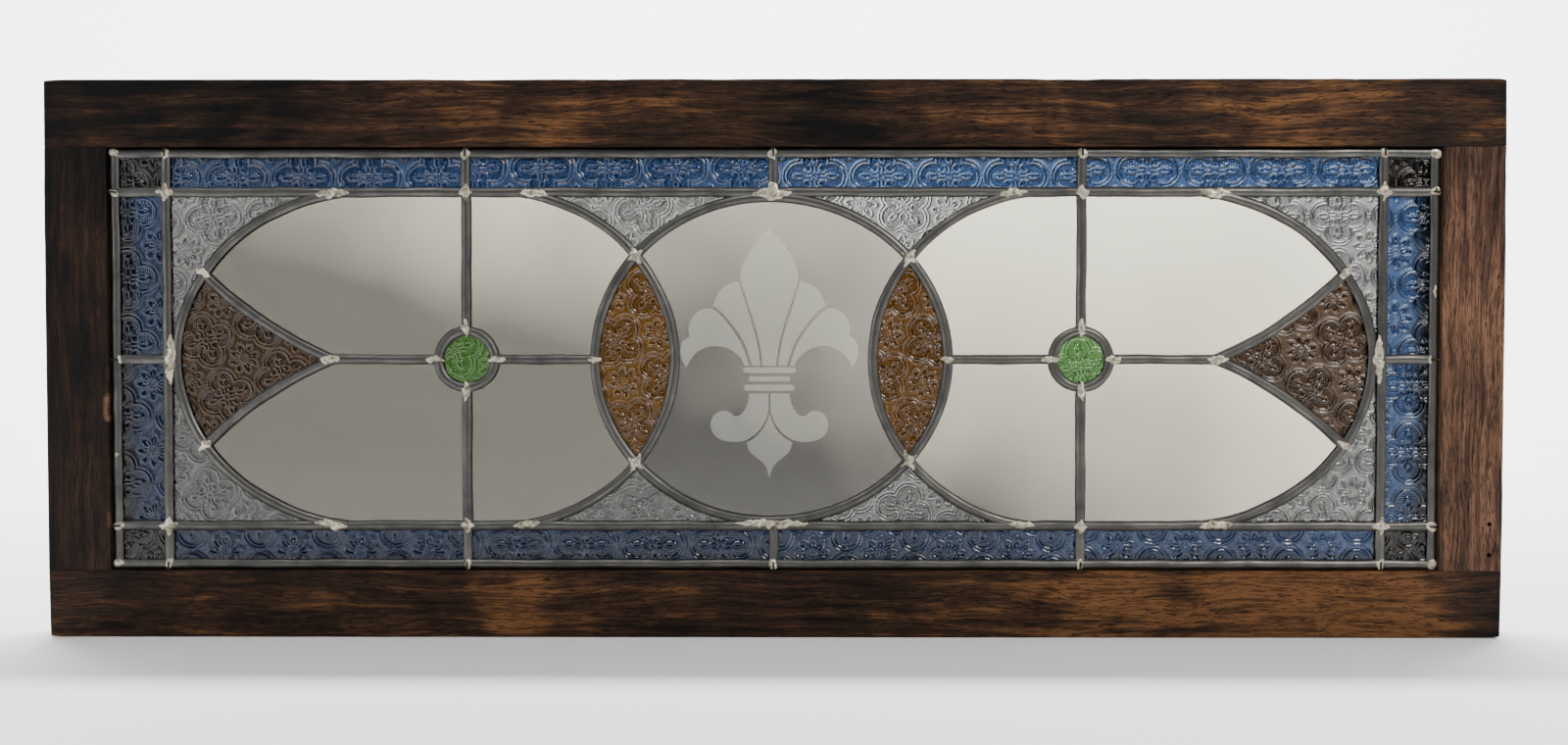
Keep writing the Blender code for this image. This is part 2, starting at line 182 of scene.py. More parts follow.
# How the timber has worn
EDGE_STEP = 0.006
OUTER_EDGE = 0.0011
SLOW_WEAR = 0.0007
FAST_WEAR = 0.0003
CORNER_WEAR = 0.0008
CORNER_REACH = 0.006
CHIP_STEP = 0.0013
CHIP_CUTS_X = (0.0032, 0.0055)
CHIP_CUTS_Y = (-0.0112, -0.0095)
CHIP_BACK_Y = -0.0110
CHIP_LIMIT = 0.0040
CHIP_REACH = 0.0042
FULL_CHIP_DEPTH = 0.0017
SPLINTERS = ((MID_Z - 0.0310, 0.0090, 0.0017), (MID_Z - 0.0080, 0.0050, 0.0007),
             (MID_Z - 0.1010, 0.0060, 0.0009), (MID_Z - 0.0700, 0.0120, 0.0005))
NAIL_HOLE_RADII = (0.0013, 0.0017)
NAIL_HOLE_DEPTH = 0.008

# How the finishes take the light
TIMBER_BUMP = 0.00035
TIMBER_GLOSS = 0.12
STAIN = (0.0009, 0.0006, 0.0005)
BARE_WOOD = (0.125, 0.072, 0.050)
GLASS_IOR = 1.5
GLASS_GLOSS = 0.1
# Painted light and shade on the glass: how much lighter its tint gets per metre upward and per metre to
# the right.
PAINTED_LIGHT_UP = 3.8
PAINTED_LIGHT_ACROSS = 1.5

# The studio and the camera
FLOOR_RADIUS = 1.4
CURVE_RADIUS = 1.4
CURVE_STEPS = 8
WALL_HEIGHT = 2.6
STUDIO_LENGTH = 3.0
STUDIO_MIDDLE = 0.6
STUDIO_TONES = ((0.10, 0.09), (0.46, 0.80))
SURROUND_LIGHT = 0.05
CAMERA_TARGET = (0.0066, FRONT_Y, 0.1669)
CAMERA_DISTANCE = 0.954
CAMERA_TILT = radians(1.6)
CAMERA_SWING = radians(0.3)
CAMERA_LENS = 34.97


# Helpers for objects and materials


def add_object(name, shape, material, smooth=True):
    """Turn a bmesh into an object with a material, its faces pointing outwards."""
    bmesh.ops.recalc_face_normals(shape, faces=shape.faces)
    mesh = bpy.data.meshes.new(name)
    shape.to_mesh(mesh)
    shape.free()
    return add_mesh(name, mesh, material, smooth)


def add_mesh(name, mesh, material, smooth=True):
    obj = bpy.data.objects.new(name, mesh)
    bpy.context.scene.collection.objects.link(obj)
    if mesh.materials:
        mesh.materials.clear()
    mesh.materials.append(material)
    if smooth:
        mesh.polygons.foreach_set("use_smooth", [True] * len(mesh.polygons))
    return obj


def applied(obj):
    """The mesh of an object with its modifiers applied, the object itself being removed."""
    graph = bpy.context.evaluated_depsgraph_get()
    mesh = bpy.data.meshes.new_from_object(obj.evaluated_get(graph))
    bpy.data.objects.remove(obj, do_unlink=True)
    return mesh


def cut_with(cutter, obj, operation):
    """The mesh of an object after a Boolean with a cutter; both objects are removed."""
    cut = obj.modifiers.new("cut", "BOOLEAN")
    cut.operation = operation
    cut.solver = "MANIFOLD"
    cut.object = cutter
    mesh = applied(obj)
    bpy.data.objects.remove(cutter, do_unlink=True)
    return mesh


def window_point(photo_x, photo_y):
    """Place on the panel, about the middle height, of a point measured on the photograph."""
    return (photo_x - PHOTO_MID_X) * PIXEL_WIDTH, (PHOTO_MID_Y - photo_y) * PIXEL_HEIGHT


def new_material(name):
    """A new material, its node tree and its shader."""
    made = bpy.data.materials.new(name)
    made.use_nodes = True
    return made, made.node_tree, made.node_tree.nodes["Principled BSDF"]


def feed(tree, socket, value):
    """Link a socket to what feeds it, or set its plain value."""
    if isinstance(value, ShaderValue):
        value = value.socket
    if isinstance(value, bpy.types.NodeSocket):
        tree.links.new(value, socket)
    else:
        socket.default_value = value


def add_node(tree, kind, inputs=None, **settings):
    """A node with its settings, and its inputs linked or set."""
    made = tree.nodes.new(kind)
    for key, value in settings.items():
        setattr(made, key, value)
    for key, value in (inputs or {}).items():
        feed(tree, made.inputs[key], value)
    return made


def mix_colour(tree, factor, first, second):
    """Mix two colours; sockets 6, 7 and 2 are the ones of a Mix node that carry colours."""
    made = add_node(tree, "ShaderNodeMix", data_type="RGBA")
    for place, value in ((0, factor), (6, first), (7, second)):
        feed(tree, made.inputs[place], value)
    return made.outputs[2]


def ramp(tree, factor, stops):
    """Map a value through stops given as (position, grey value)."""
    made = add_node(tree, "ShaderNodeValToRGB", {"Fac": factor})
    elements = made.color_ramp.elements
    while len(elements) < len(stops):
        elements.new(0.5)
    for element, (position, grey) in zip(elements, stops):
        element.position = position
        element.color = (grey, grey, grey, 1.0)
    return ShaderValue(tree, made.outputs["Color"])


def noise_value(tree, vector, scale, detail=3.0, rough=0.55, distortion=0.0):
    inputs = {"Vector": vector, "Scale": scale, "Detail": detail, "Roughness": rough,
              "Distortion": distortion}
    return ShaderValue(tree, add_node(tree, "ShaderNodeTexNoise", inputs).outputs["Fac"])


def place_values(tree, vector):
    """The three parts of a vector as shader values."""
    made = add_node(tree, "ShaderNodeSeparateXYZ", {"Vector": vector})
    return [ShaderValue(tree, socket) for socket in made.outputs]


def new_group(name, inputs, outputs):
    """A shader node group with its inputs and outputs, each given as (name, kind)."""
    group = bpy.data.node_groups.new(name, "ShaderNodeTree")
    for label, kind in inputs:
        group.interface.new_socket(name=label, in_out="INPUT", socket_type=kind)
    for label, kind in outputs:
        group.interface.new_socket(name=label, in_out="OUTPUT", socket_type=kind)
    return group, group.nodes.new("NodeGroupInput"), group.nodes.new("NodeGroupOutput")


def use_group(tree, group, inputs):
    return add_node(tree, "ShaderNodeGroup", inputs, node_tree=group)


def close_group(group, end, colour, rough, height):
    """Lead a finish's colour, roughness and height out of its group."""
    for label, value in (("Color", colour), ("Roughness", rough), ("Height", height)):
        feed(group, end.inputs[label], value)


FLOAT = "NodeSocketFloat"
COLOUR = "NodeSocketColor"
VECTOR = "NodeSocketVector"
FINISH = (("Color", COLOUR), ("Roughness", FLOAT), ("Height", FLOAT))
PRESS_LABELS = ("Ridge", "Furrow Shade", "Stipple", "Field", "Lit", "Shaded")


# The pressed pattern, worked out alike for points of a mesh and for shader values


class ShaderValue:
    """A value of a material that is added, taken off, multiplied and divided like a number."""

    def __init__(self, tree, socket):
        self.tree = tree
        self.socket = socket

    def worked(self, operation, other=0.0, turned=False):
        pair = (other, self) if turned else (self, other)
        made = add_node(self.tree, "ShaderNodeMath", dict(enumerate(pair)), operation=operation)
        return ShaderValue(self.tree, made.outputs[0])

    def __add__(self, other):
        return self.worked("ADD", other)

    def __sub__(self, other):
        return self.worked("SUBTRACT", other)

    def __rsub__(self, other):
        return self.worked("SUBTRACT", other, True)

    def __mul__(self, other):
        return self.worked("MULTIPLY", other)

    def __truediv__(self, other):
        return self.worked("DIVIDE", other)

    __radd__ = __add__
    __rmul__ = __mul__


def either_way(value, operation, plain, *others):
    """One step on a shader value, or its plain counterpart on the points of a mesh."""
    if isinstance(value, ShaderValue):
        return value.worked(operation, *others)
    return plain(value, *others)


def unsigned(value):
    return either_way(value, "ABSOLUTE", np.abs)


def least(first, second):
    return either_way(first, "MINIMUM", np.minimum, second)


def most(first, second):
    return either_way(first, "MAXIMUM", np.maximum, second)


def part_of_turn(first, second):
    return either_way(first, "ARCTAN2", np.arctan2, second) / (2 * pi)


def past_whole(value):
    """What is left of a value past the whole number below it."""
    return either_way(value, "FRACT", lambda plain: plain % 1.0)


def above(value, limit):
    """1 where a value is above the limit, and 0 elsewhere."""
    return either_way(value, "GREATER_THAN", lambda plain, low: (plain > low) * 1.0, limit)


def between(value, low, high):
    return above(value, low) * (1.0 - above(value, high))


def kept_in_range(value):
    return least(most(value, 0.0), 1.0)


def bead(distance, half_width):
    """A rounded ridge where the distance is nil."""
    scaled = distance / half_width
    return either_way(0.0 - scaled * scaled, "EXPONENT", np.exp)


def inside_of(distance):
    """1 inside a shape, where the distance is negative, and 0 outside it."""
    return kept_in_range(0.5 - distance / SOFT_EDGE)


def only(distance, where):
    """The distance to a line that is drawn only where the mask is 1."""
    return unsigned(distance) + (1.0 - where)


def reach_of(across, up):
    return either_way(across * across + up * up, "SQRT", np.sqrt)


def pointed_oval(along, across, half_length, half_width):
    """About the distance to a long oval, negative inside it."""
    return (reach_of(along / half_length, across / half_width) - 1.0) * half_width


def quatrefoil(a, b):
    """Distance to the nearest line, raised leaves, stipple and outline of one quatrefoil."""
    across = unsigned(a)
    up = unsigned(b)
    far = most(across, up)
    near = least(across, up)
    lobes = reach_of(far - LOBE_PLACE, near) - LOBE_RADIUS
    leaf = pointed_oval(far - LEAF_PLACE, near, LEAF_HALF_LENGTH, LEAF_HALF_WIDTH)
    hook = reach_of(across - HOOK_PLACE, up - HOOK_PLACE) - HOOK_RADIUS
    lines = least(unsigned(lobes), unsigned(lobes + LOBE_LINE_GAP))
    lines = least(lines, unsigned(leaf))
    lines = least(lines, only(hook, 1.0 - above(across + up, HOOK_LIMIT)))
    lines = least(lines, unsigned(reach_of(across, up) - EYE_RADIUS))
    lines = least(lines, only(near, between(far, SPOKE_START, SPOKE_END)))
    stipple = inside_of(lobes + STIPPLE_MARGIN) * above(leaf, LEAF_MARGIN)
    stipple = stipple * above(far, STIPPLE_START)
    return lines, inside_of(leaf), stipple, lobes


def daisy(a, b):
    """Distance to the nearest line, and the petals, of one eight-petalled daisy."""
    radius = reach_of(a, b)
    petal = past_whole(part_of_turn(b, a) * PETALS + 0.5) - 0.5
    sideways = unsigned(petal) * radius * (2 * pi / PETALS)
    body = pointed_oval(radius - PETAL_PLACE, sideways, PETAL_HALF_LENGTH, PETAL_HALF_WIDTH)
    lines = least(unsigned(body), only(sideways, between(radius, VEIN_START, VEIN_END)))
    lines = least(lines, unsigned(radius - DAISY_EYE_RADIUS))
    return lines, inside_of(body)


def pressed_pattern(u, v):
    """Height, painted shade in the grooves beside the lines, stipple and open field of the pattern at
    places u, v counted in motifs.
    """
    a = (past_whole(u + 0.5) - 0.5) * MOTIF
    b = (past_whole(v + 0.5) - 0.5) * MOTIF
    lines, leaves, stipple, lobes = quatrefoil(a, b)
    c = (past_whole(u) - 0.5) * MOTIF
    d = (past_whole(v) - 0.5) * MOTIF
    flower, petals = daisy(c, d)
    outside = above(lobes, LOBE_MARGIN)
    lines = least(lines, flower + (1.0 - outside))
    far = most(unsigned(a), unsigned(b))
    near = least(unsigned(a), unsigned(b))
    lines = least(lines, only(near - SEAM_OFFSET, above(far, SEAM_START) * outside))
    field = inside_of(0.0 - lobes) * (1.0 - petals)
    height = kept_in_range(bead(lines, LINE) + leaves * 0.35)
    # Painted shade: a dark band along both sides of each line, in the grooves.
    groove_shade = kept_in_range((bead(lines, 2.3 * LINE) - bead(lines, 1.3 * LINE)) * 2.4)
    return height, groove_shade, stipple, field


def press_marks_group():
    """Ridge, painted shade in the furrows, stipple, open field, and the painted lit and shaded side of
    the lines, as masks.
    """
    group, start, end = new_group("press_marks", [("Sheet", VECTOR)],
                                  [(label, FLOAT) for label in PRESS_LABELS])
    u, v = place_values(group, start.outputs["Sheet"])[:2]
    height, groove_shade, stipple, field = pressed_pattern(u, v)
    # Painted light and shade: each line is lit on one side and shaded on the other, as if lit from the
    # upper left of the sheet.
    beside = pressed_pattern(u - SLANT / MOTIF, v + SLANT / MOTIF)[0]
    rise = (height - beside) * 1.5
    marks = (height, groove_shade, stipple, field, kept_in_range(rise), kept_in_range(0.0 - rise))
    for label, value in zip(PRESS_LABELS, marks):
        feed(group, end.inputs[label], value)
    return group


# Finishes


def old_timber_group():
    """Stained open-grained timber, with the grain along the first axis of its vector."""
    group, start, end = new_group(
        "old_timber", [("Vector", VECTOR), ("Shade", FLOAT), ("Dark", COLOUR), ("Middle", COLOUR),
                       ("Light", COLOUR)], FINISH)
    wander = add_node(group, "ShaderNodeMapping",
                      {"Vector": start.outputs["Vector"], "Scale": (7.0, 24.0, 24.0)})
    drift = add_node(group, "ShaderNodeTexNoise",
                     {"Vector": wander.outputs[0], "Scale": 1.0, "Detail": 2.0})
    drift = add_node(group, "ShaderNodeVectorMath",
                     {0: drift.outputs["Color"], 1: (0.0, 0.020, 0.020)}, operation="MULTIPLY")
    vector = add_node(group, "ShaderNodeVectorMath",
                      {0: start.outputs["Vector"], 1: drift.outputs[0]}, operation="ADD").outputs[0]

    def grain(along, across, detail, low, high):
        place = add_node(group, "ShaderNodeMapping",
                         {"Vector": vector, "Scale": (along, across, across)})
        value = noise_value(group, place.outputs[0], 1.0, detail, 0.6, 0.2)
        return ramp(group, value, [(low, 0.0), (high, 1.0)])

    bands = grain(9.0, 210.0, 4.0, 0.32, 0.68)
    lines = grain(22.0, 760.0, 3.0, 0.50, 0.62)
    pores = grain(130.0, 1900.0, 2.0, 0.56, 0.64)
    flecks = grain(70.0, 1300.0, 2.0, 0.58, 0.70)
    figure = bands * 0.55 + ShaderValue(group, start.outputs["Shade"])
    stained = ramp(group, figure, [(0.20, 0.0), (0.72, 1.0)])
    paler_tone = ramp(group, figure, [(0.70, 0.0), (1.15 / 1.2, 1.0)])
    dark, middle, light = (start.outputs[label] for label in ("Dark", "Middle", "Light"))
    colour = mix_colour(group, stained, dark, middle)
    colour = mix_colour(group, paler_tone, colour, light)
    colour = mix_colour(group, flecks * stained * 0.55, colour, light)
    colour = mix_colour(group, lines * 0.62, colour, dark)
    colour = mix_colour(group, pores * 0.85, colour, dark)
    height = bands * 0.35 - (lines * 0.4 + pores * 0.8)
    close_group(group, end, colour, bands * 0.2 + 0.48, height)
    return group


def dull_metal_group():
    """Handled metal: dull and bright patches and a fine pitted surface."""
    group, start, end = new_group(
        "dull_metal", [("Vector", VECTOR), ("Bright", COLOUR), ("Dull", COLOUR),
                       ("Patches", FLOAT), ("Shine", FLOAT)], FINISH)
    vector = start.outputs["Vector"]
    patches = noise_value(group, vector, start.outputs["Patches"], 4.0, 0.6)
    mask = ramp(group, patches, [(0.30, 0.0), (0.72, 1.0)])
    fine = noise_value(group, vector, 900.0, 3.0, 0.6)
    colour = mix_colour(group, mask, start.outputs["Dull"], start.outputs["Bright"])
    rough = ShaderValue(group, start.outputs["Shine"]) + (1.0 - mask) * 0.22 + fine * 0.1
    close_group(group, end, colour, rough, patches * 0.7 + fine * 0.3)
    return group


def glass_surface_group():
    """Glass: an uneven tint with painted light and shade, lighter upward and to the right, and the
    lines, open field and stipple of the press, with painted highlights, glints and shade.
    """
    values = ("Cloud", "Painted Fall", "Polish", "Contrast") + PRESS_LABELS
    colours = ("Tint", "Deep", "Frost And Highlight", "Groove Shade")
    group, start, end = new_group(
        "glass_surface", [("Vector", VECTOR)] + [(label, COLOUR) for label in colours]
        + [(label, FLOAT) for label in values], FINISH)
    vector, tint, deep, frost_and_highlight, groove_shade = (start.outputs[label] for label in ("Vector",) + colours)
    given = {label: ShaderValue(group, start.outputs[label]) for label in values}
    clouds = noise_value(group, vector, given["Cloud"], 2.0, 0.5)
    x, y, z = place_values(group, vector)
    # Painted light and shade: the tint gets lighter upward and to the right, darker toward the bottom.
    painted_fall = (z - MID_Z) * PAINTED_LIGHT_UP + x * PAINTED_LIGHT_ACROSS
    shade = kept_in_range(0.2 + (clouds - 0.5) * 0.8 + painted_fall * given["Painted Fall"])
    grit = noise_value(group, vector, 1300.0, 2.0, 0.6)
    dots = add_node(group, "ShaderNodeTexVoronoi",
                    {"Vector": vector, "Scale": 760.0, "Randomness": 0.4}).outputs["Distance"]
    dots = ramp(group, dots, [(0.15, 1.0), (0.5, 0.0)])
    dotted = dots * given["Stipple"]
    # Pale: the frosting of the open field, the stipple dots as frosting and painted glints, and the
    # painted highlight on the lit side of the lines.
    frost_and_highlight_mask = given["Field"] * grit * 0.5 + dotted * 0.55 + given["Lit"] * given["Contrast"]
    pale = mix_colour(group, kept_in_range(0.25 + shade * 1.3), deep, frost_and_highlight)
    gaps = (1.0 - dots) * given["Stipple"]
    # Dark: painted shade in the furrows and on the shaded side of the lines, and darker gaps between the
    # stipple dots.
    dark = given["Furrow Shade"] * 0.25 + given["Shaded"] * (given["Contrast"] + 0.15) + gaps * 0.35
    colour = mix_colour(group, shade, deep, tint)
    colour = mix_colour(group, kept_in_range(frost_and_highlight_mask), colour, pale)
    colour = mix_colour(group, kept_in_range(dark), colour, groove_shade)
    rough = given["Polish"] + given["Field"] * 0.2 + grit * 0.05
    waves = noise_value(group, vector, 55.0, 2.0)
    height = dotted * 0.4 + waves * 0.3 + given["Ridge"] * 0.8 + given["Field"] * grit * 0.3
    close_group(group, end, colour, rough, height)
    return group


OLD_TIMBER = old_timber_group()
DULL_METAL = dull_metal_group()
GLASS_SURFACE = glass_surface_group()
PRESS_MARKS = press_marks_group()


def object_places(tree):
    """Object coordinates as three shader values."""
    return place_values(tree, add_node(tree, "ShaderNodeTexCoord").outputs["Object"])


def object_vector(tree, offset=(0.0, 0.0, 0.0), turn=(0.0, 0.0, 0.0)):
    place = add_node(tree, "ShaderNodeTexCoord")
    return add_node(tree, "ShaderNodeMapping",
                    {"Vector": place.outputs["Object"], "Location": offset,
                     "Rotation": turn}).outputs[0]


def connect_surface(tree, shader, surface, bump_distance):
    """Lead a finish into the shader, its height as a bump of so many metres."""
    feed(tree, shader.inputs["Base Color"], surface.outputs["Color"])
    feed(tree, shader.inputs["Roughness"], surface.outputs["Roughness"])
    bump = add_node(tree, "ShaderNodeBump", {"Height": surface.outputs["Height"],
                                             "Strength": 1.0, "Distance": bump_distance})
    feed(tree, shader.inputs["Normal"], bump.outputs[0])


def opaque(colour):
    return (*colour, 1.0)


def timber(name, shades, upright=False, offset=(0.0, 0.0, 0.0), light=(0.13, 0.058, 0.022),
           middle=(0.036, 0.0165, 0.0085)):
    """Timber of one piece of the frame, with shades (position 0 to 1 along it, lightness)."""
    made, tree, shader = new_material(name)
    turn = (0.0, UPRIGHT, 0.0) if upright else (0.0, 0.0, 0.0)
    vector = object_vector(tree, offset, turn)
    x, y, z = object_places(tree)
    along = z / HEIGHT if upright else x / WIDTH + 0.5
    patchy = noise_value(tree, vector, 16.0, 3.0, 0.6, 0.6)
    shade = ramp(tree, along, shades) + (patchy - 0.5) * 1.1
    surface = use_group(tree, OLD_TIMBER,
                        {"Vector": vector, "Shade": shade, "Dark": opaque(STAIN),
                         "Middle": opaque(middle), "Light": opaque(light)})
    connect_surface(tree, shader, surface, TIMBER_BUMP)
    worn = add_node(tree, "ShaderNodeAttribute", attribute_name="worn").outputs["Fac"]
    raw = ramp(tree, ShaderValue(tree, worn) * (patchy + 0.5), [(0.25, 0.0), (0.75, 1.0)])
    colour = mix_colour(tree, raw, surface.outputs["Color"], opaque(BARE_WOOD))
    feed(tree, shader.inputs["Base Color"], colour)
    shader.inputs["Specular IOR Level"].default_value = TIMBER_GLOSS
    return made


def metal(name, bright, dull, patches, shine, bump, metallic=0.9):
    """Metal that is bright in some patches and dull in others."""
    made, tree, shader = new_material(name)
    surface = use_group(tree, DULL_METAL,
                        {"Vector": object_vector(tree), "Bright": opaque(bright),
                         "Dull": opaque(dull), "Patches": patches, "Shine": shine})
    connect_surface(tree, shader, surface, bump)
    shader.inputs["Metallic"].default_value = metallic
    return made


def glass(name, tint, deep, cloud=9.0, painted_fall=0.0, polish=0.05, bump=0.00022, press=None):
    """Glass that wanders between a tint and a deeper one, with painted light and shade that make it
    lighter upward and to the right, and with the look of the press if any.
    """
    made, tree, shader = new_material(name)
    inputs = {"Vector": object_vector(tree), "Tint": opaque(tint), "Deep": opaque(deep),
              "Cloud": cloud, "Painted Fall": painted_fall, "Polish": polish}
    if press:
        sheet = add_node(tree, "ShaderNodeAttribute", attribute_name="sheet")
        marks = use_group(tree, PRESS_MARKS, {"Sheet": sheet.outputs["Vector"]})
        inputs.update(press)
        for label in PRESS_LABELS:
            inputs[label] = marks.outputs[label]
    surface = use_group(tree, GLASS_SURFACE, inputs)
    connect_surface(tree, shader, surface, bump)
    shader.inputs["Transmission Weight"].default_value = 1.0
    shader.inputs["IOR"].default_value = GLASS_IOR
    shader.inputs["Specular IOR Level"].default_value = GLASS_GLOSS
    return made


def pressed_glass(name, tint, deep, frost_and_highlight, groove_shade, contrast, painted_fall=0.0):
    """Glass whose marks of the press follow the sheet attribute of the pane; contrast sets how strongly
    the lines carry their painted highlight and shade.
    """
    # The pale colour serves the frosting and the painted highlights, the dark one the painted shade of
    # the lines.
    press = {"Frost And Highlight": opaque(frost_and_highlight), "Groove Shade": opaque(groove_shade), "Contrast": contrast}
    return glass(name, tint, deep, painted_fall=painted_fall, press=press)


LEAD = metal("lead_came_surface", (0.118, 0.114, 0.106), (0.055, 0.055, 0.053), 60.0, 0.27, 0.00005)
SOLDER = metal("solder_surface", (0.74, 0.69, 0.54), (0.085, 0.068, 0.045), 300.0, 0.17, 0.0008,
               metallic=0.72)
IRON = metal("pin_surface", (0.05, 0.042, 0.035), (0.014, 0.01, 0.008), 500.0, 0.45, 0.0002)

# Lit and shaded copies of one blue: the right one carries stronger painted highlights and shade and
# paler frosting, as the light comes from the right.
SHADED_BLUE_LEFT = pressed_glass(
    "blue_left_glass", (0.0026, 0.0115, 0.0400), (0.0003, 0.0015, 0.0072),
    (0.036, 0.060, 0.104), (0.0004, 0.0014, 0.0050), 0.25, painted_fall=0.6)
LIT_BLUE_RIGHT = pressed_glass(
    "blue_right_glass", (0.0038, 0.0145, 0.0480), (0.0003, 0.0016, 0.0080),
    (0.054, 0.083, 0.136), (0.0002, 0.0006, 0.0022), 0.75, painted_fall=0.6)
AMBER = pressed_glass(
    "amber_pressed_glass", (0.0230, 0.0088, 0.0001), (0.0120, 0.0043, 0.0001),
    (0.090, 0.044, 0.005), (0.0040, 0.0013, 0.0001), 0.3)
# Lit and shaded copies of the amber ends: the right one carries stronger painted highlights and a paler
# frosting, as the light comes from the right.
SHADED_END_LEFT = pressed_glass(
    "amber_end_left_glass", (0.0110, 0.0044, 0.0001), (0.0060, 0.0022, 0.0001),
    (0.036, 0.0170, 0.0015), (0.0018, 0.0006, 0.0001), 0.18)
LIT_END_RIGHT = pressed_glass(
    "amber_end_right_glass", (0.0105, 0.0034, 0.0002), (0.0045, 0.0014, 0.0002),
    (0.125, 0.083, 0.050), (0.0006, 0.0002, 0.0001), 0.7)
DARK_AMBER = pressed_glass(
    "dark_amber_glass", (0.0018, 0.0008, 0.0001), (0.0005, 0.0002, 0.0001),
    (0.0055, 0.0028, 0.0005), (0.0002, 0.0001, 0.0001), 0.3)
GREEN_LEFT = pressed_glass(
    "green_left_glass", (0.0120, 0.0330, 0.0045), (0.0085, 0.0245, 0.0033),
    (0.022, 0.054, 0.009), (0.0045, 0.0140, 0.0022), 0.9)
GREEN_RIGHT = pressed_glass(
    "green_right_glass", (0.0190, 0.0540, 0.0090), (0.0130, 0.0390, 0.0065),
    (0.18, 0.33, 0.14), (0.0040, 0.0140, 0.0022), 0.9)
# Lit and shaded copies of the pale pressed glass: the right one carries stronger painted highlights and
# shade, as the light comes from the right.
SHADED_PATTERN_LEFT = pressed_glass(
    "pressed_left_glass", (0.080, 0.080, 0.077), (0.022, 0.022, 0.021),
    (0.20, 0.20, 0.19), (0.0080, 0.0080, 0.0077), 0.55, painted_fall=0.5)
LIT_PATTERN_RIGHT = pressed_glass(
    "pressed_right_glass", (0.085, 0.085, 0.082), (0.018, 0.018, 0.017),
    (0.25, 0.25, 0.24), (0.0030, 0.0030, 0.0029), 1.0, painted_fall=0.4)
# Painted light and shade on the clear, centre and etched glass: darker toward the bottom, lighter upward
# and to the right.
CLEAR = glass("clear_sheet_glass", (0.40, 0.385, 0.300), (0.045, 0.0435, 0.036),
              cloud=5.0, painted_fall=1.0, polish=0.08, bump=0.0002)
CENTRE = glass("centre_sheet_glass", (0.20, 0.195, 0.160), (0.024, 0.0232, 0.0210),
               cloud=7.0, painted_fall=1.0, polish=0.08, bump=0.0002)
ETCHED = glass("etched_glass", (0.205, 0.202, 0.166), (0.145, 0.143, 0.118),
               cloud=6.0, painted_fall=0.5, polish=0.5, bump=0.0001)

TOP_TIMBER = timber("top_rail_timber", [(0.0, 0.0), (0.13, 0.0), (0.26, 0.42), (0.44, 0.36),
                                        (0.53, 0.06), (0.64, 0.34), (0.86, 0.42), (1.0, 0.24)])
BOTTOM_TIMBER = timber("bottom_rail_timber", [(0.0, 0.30), (0.12, 0.24), (0.3, 0.42), (0.5, 0.22),
                                              (0.62, 0.44), (0.94, 0.80), (1.0, 0.02)],
                       offset=(3.1, 0.4, 0.7))
# The right stile's paler tones are partly its own colour and partly painted sheen, as the light comes
# from the right; the left stile is given darker tones.
LEFT_TIMBER = timber("left_stile_timber", [(0.0, 0.14), (0.35, 0.22), (0.7, 0.16), (1.0, 0.0)],
                     upright=True, offset=(5.3, 1.4, 0.2), light=(0.062, 0.030, 0.016),
                     middle=(0.026, 0.0125, 0.0068))
RIGHT_TIMBER_AND_SHEEN = timber("right_stile_timber", [(0.0, 0.22), (0.2, 0.48), (0.45, 0.56), (0.7, 0.46),
                                             (0.86, 0.30), (1.0, 0.36)],
                      upright=True, offset=(7.7, 2.9, 1.2), light=(0.15, 0.078, 0.046),
                      middle=(0.075, 0.038, 0.024))


# The lead lines


def ellipse_line(centre_x, half_width, half_height, start, end, steps=180):
    points = []
    for step in range(steps + 1):
        angle = start + (end - start) * step / steps
        points.append((centre_x + half_width * cos(angle), half_height * sin(angle)))
    return points


def arc_line(start, end, sagitta, steps=40):
    """Circular arc from start to end; a positive sagitta bulges to the left of the way there."""
    chord = hypot(end[0] - start[0], end[1] - start[1])
    rise = abs(sagitta)
    radius = (chord * chord / 4 + rise * rise) / (2 * rise)
    half_angle = asin(chord / 2 / radius)
    along = ((end[0] - start[0]) / chord, (end[1] - start[1]) / chord)
    points = []
    for step in range(steps + 1):
        angle = half_angle * (2 * step / steps - 1)
        forward = chord / 2 + radius * sin(angle)
        left = copysign(radius * cos(angle) - (radius - rise), sagitta)
        points.append((start[0] + forward * along[0] - left * along[1],
                       start[1] + forward * along[1] + left * along[0]))
    return points


def oval_end(side, tip_x, reach):
    """The rounded end of an oval, between the long cames above and below it."""
    turn = asin(INNER_Z / OVAL_HALF_HEIGHT)
    points = ellipse_line(tip_x - reach, reach, OVAL_HALF_HEIGHT, -turn, turn)
    return [(side * x, z) for x, z in points]


def end_piece_corner():
    """How far out an amber end piece meets the outer end of its oval."""
    share = END_PIECE_HALF_HEIGHT / OVAL_HALF_HEIGHT
    return OVAL_END_X - OVAL_OUTER_REACH + OVAL_OUTER_REACH * sqrt(1 - share * share)


def straight_came_lines():
    lines = []
    edge = CAME_WIDTH / 2
    for side in (-1, 1):
        circle_x = CIRCLE_SHIFT + side * CIRCLE_HALF_WIDTH
        lines += [[(side * OUTER_X, -OUTER_Z - edge), (side * OUTER_X, OUTER_Z + edge)],
                  [(-OUTER_X - edge, side * OUTER_Z), (OUTER_X + edge, side * OUTER_Z)],
                  [(side * INNER_X, -OUTER_Z), (side * INNER_X, OUTER_Z)],
                  [(-OUTER_X, side * INNER_Z), (OUTER_X, side * INNER_Z)],
                  [(side * INNER_X, 0.0), (side * OUTER_X, 0.0)],
                  [(0.0, side * INNER_Z), (0.0, side * OUTER_Z)],
                  [(side * END_TIP_X, 0.0), (side * (RONDEL_X + RING_RADIUS), 0.0)],
                  [(side * (RONDEL_X - RING_RADIUS), 0.0), (circle_x, 0.0)],
                  [(side * RONDEL_X, -OUTER_Z), (side * RONDEL_X, -RING_RADIUS)],
                  [(side * RONDEL_X, RING_RADIUS), (side * RONDEL_X, OUTER_Z)]]
    return lines


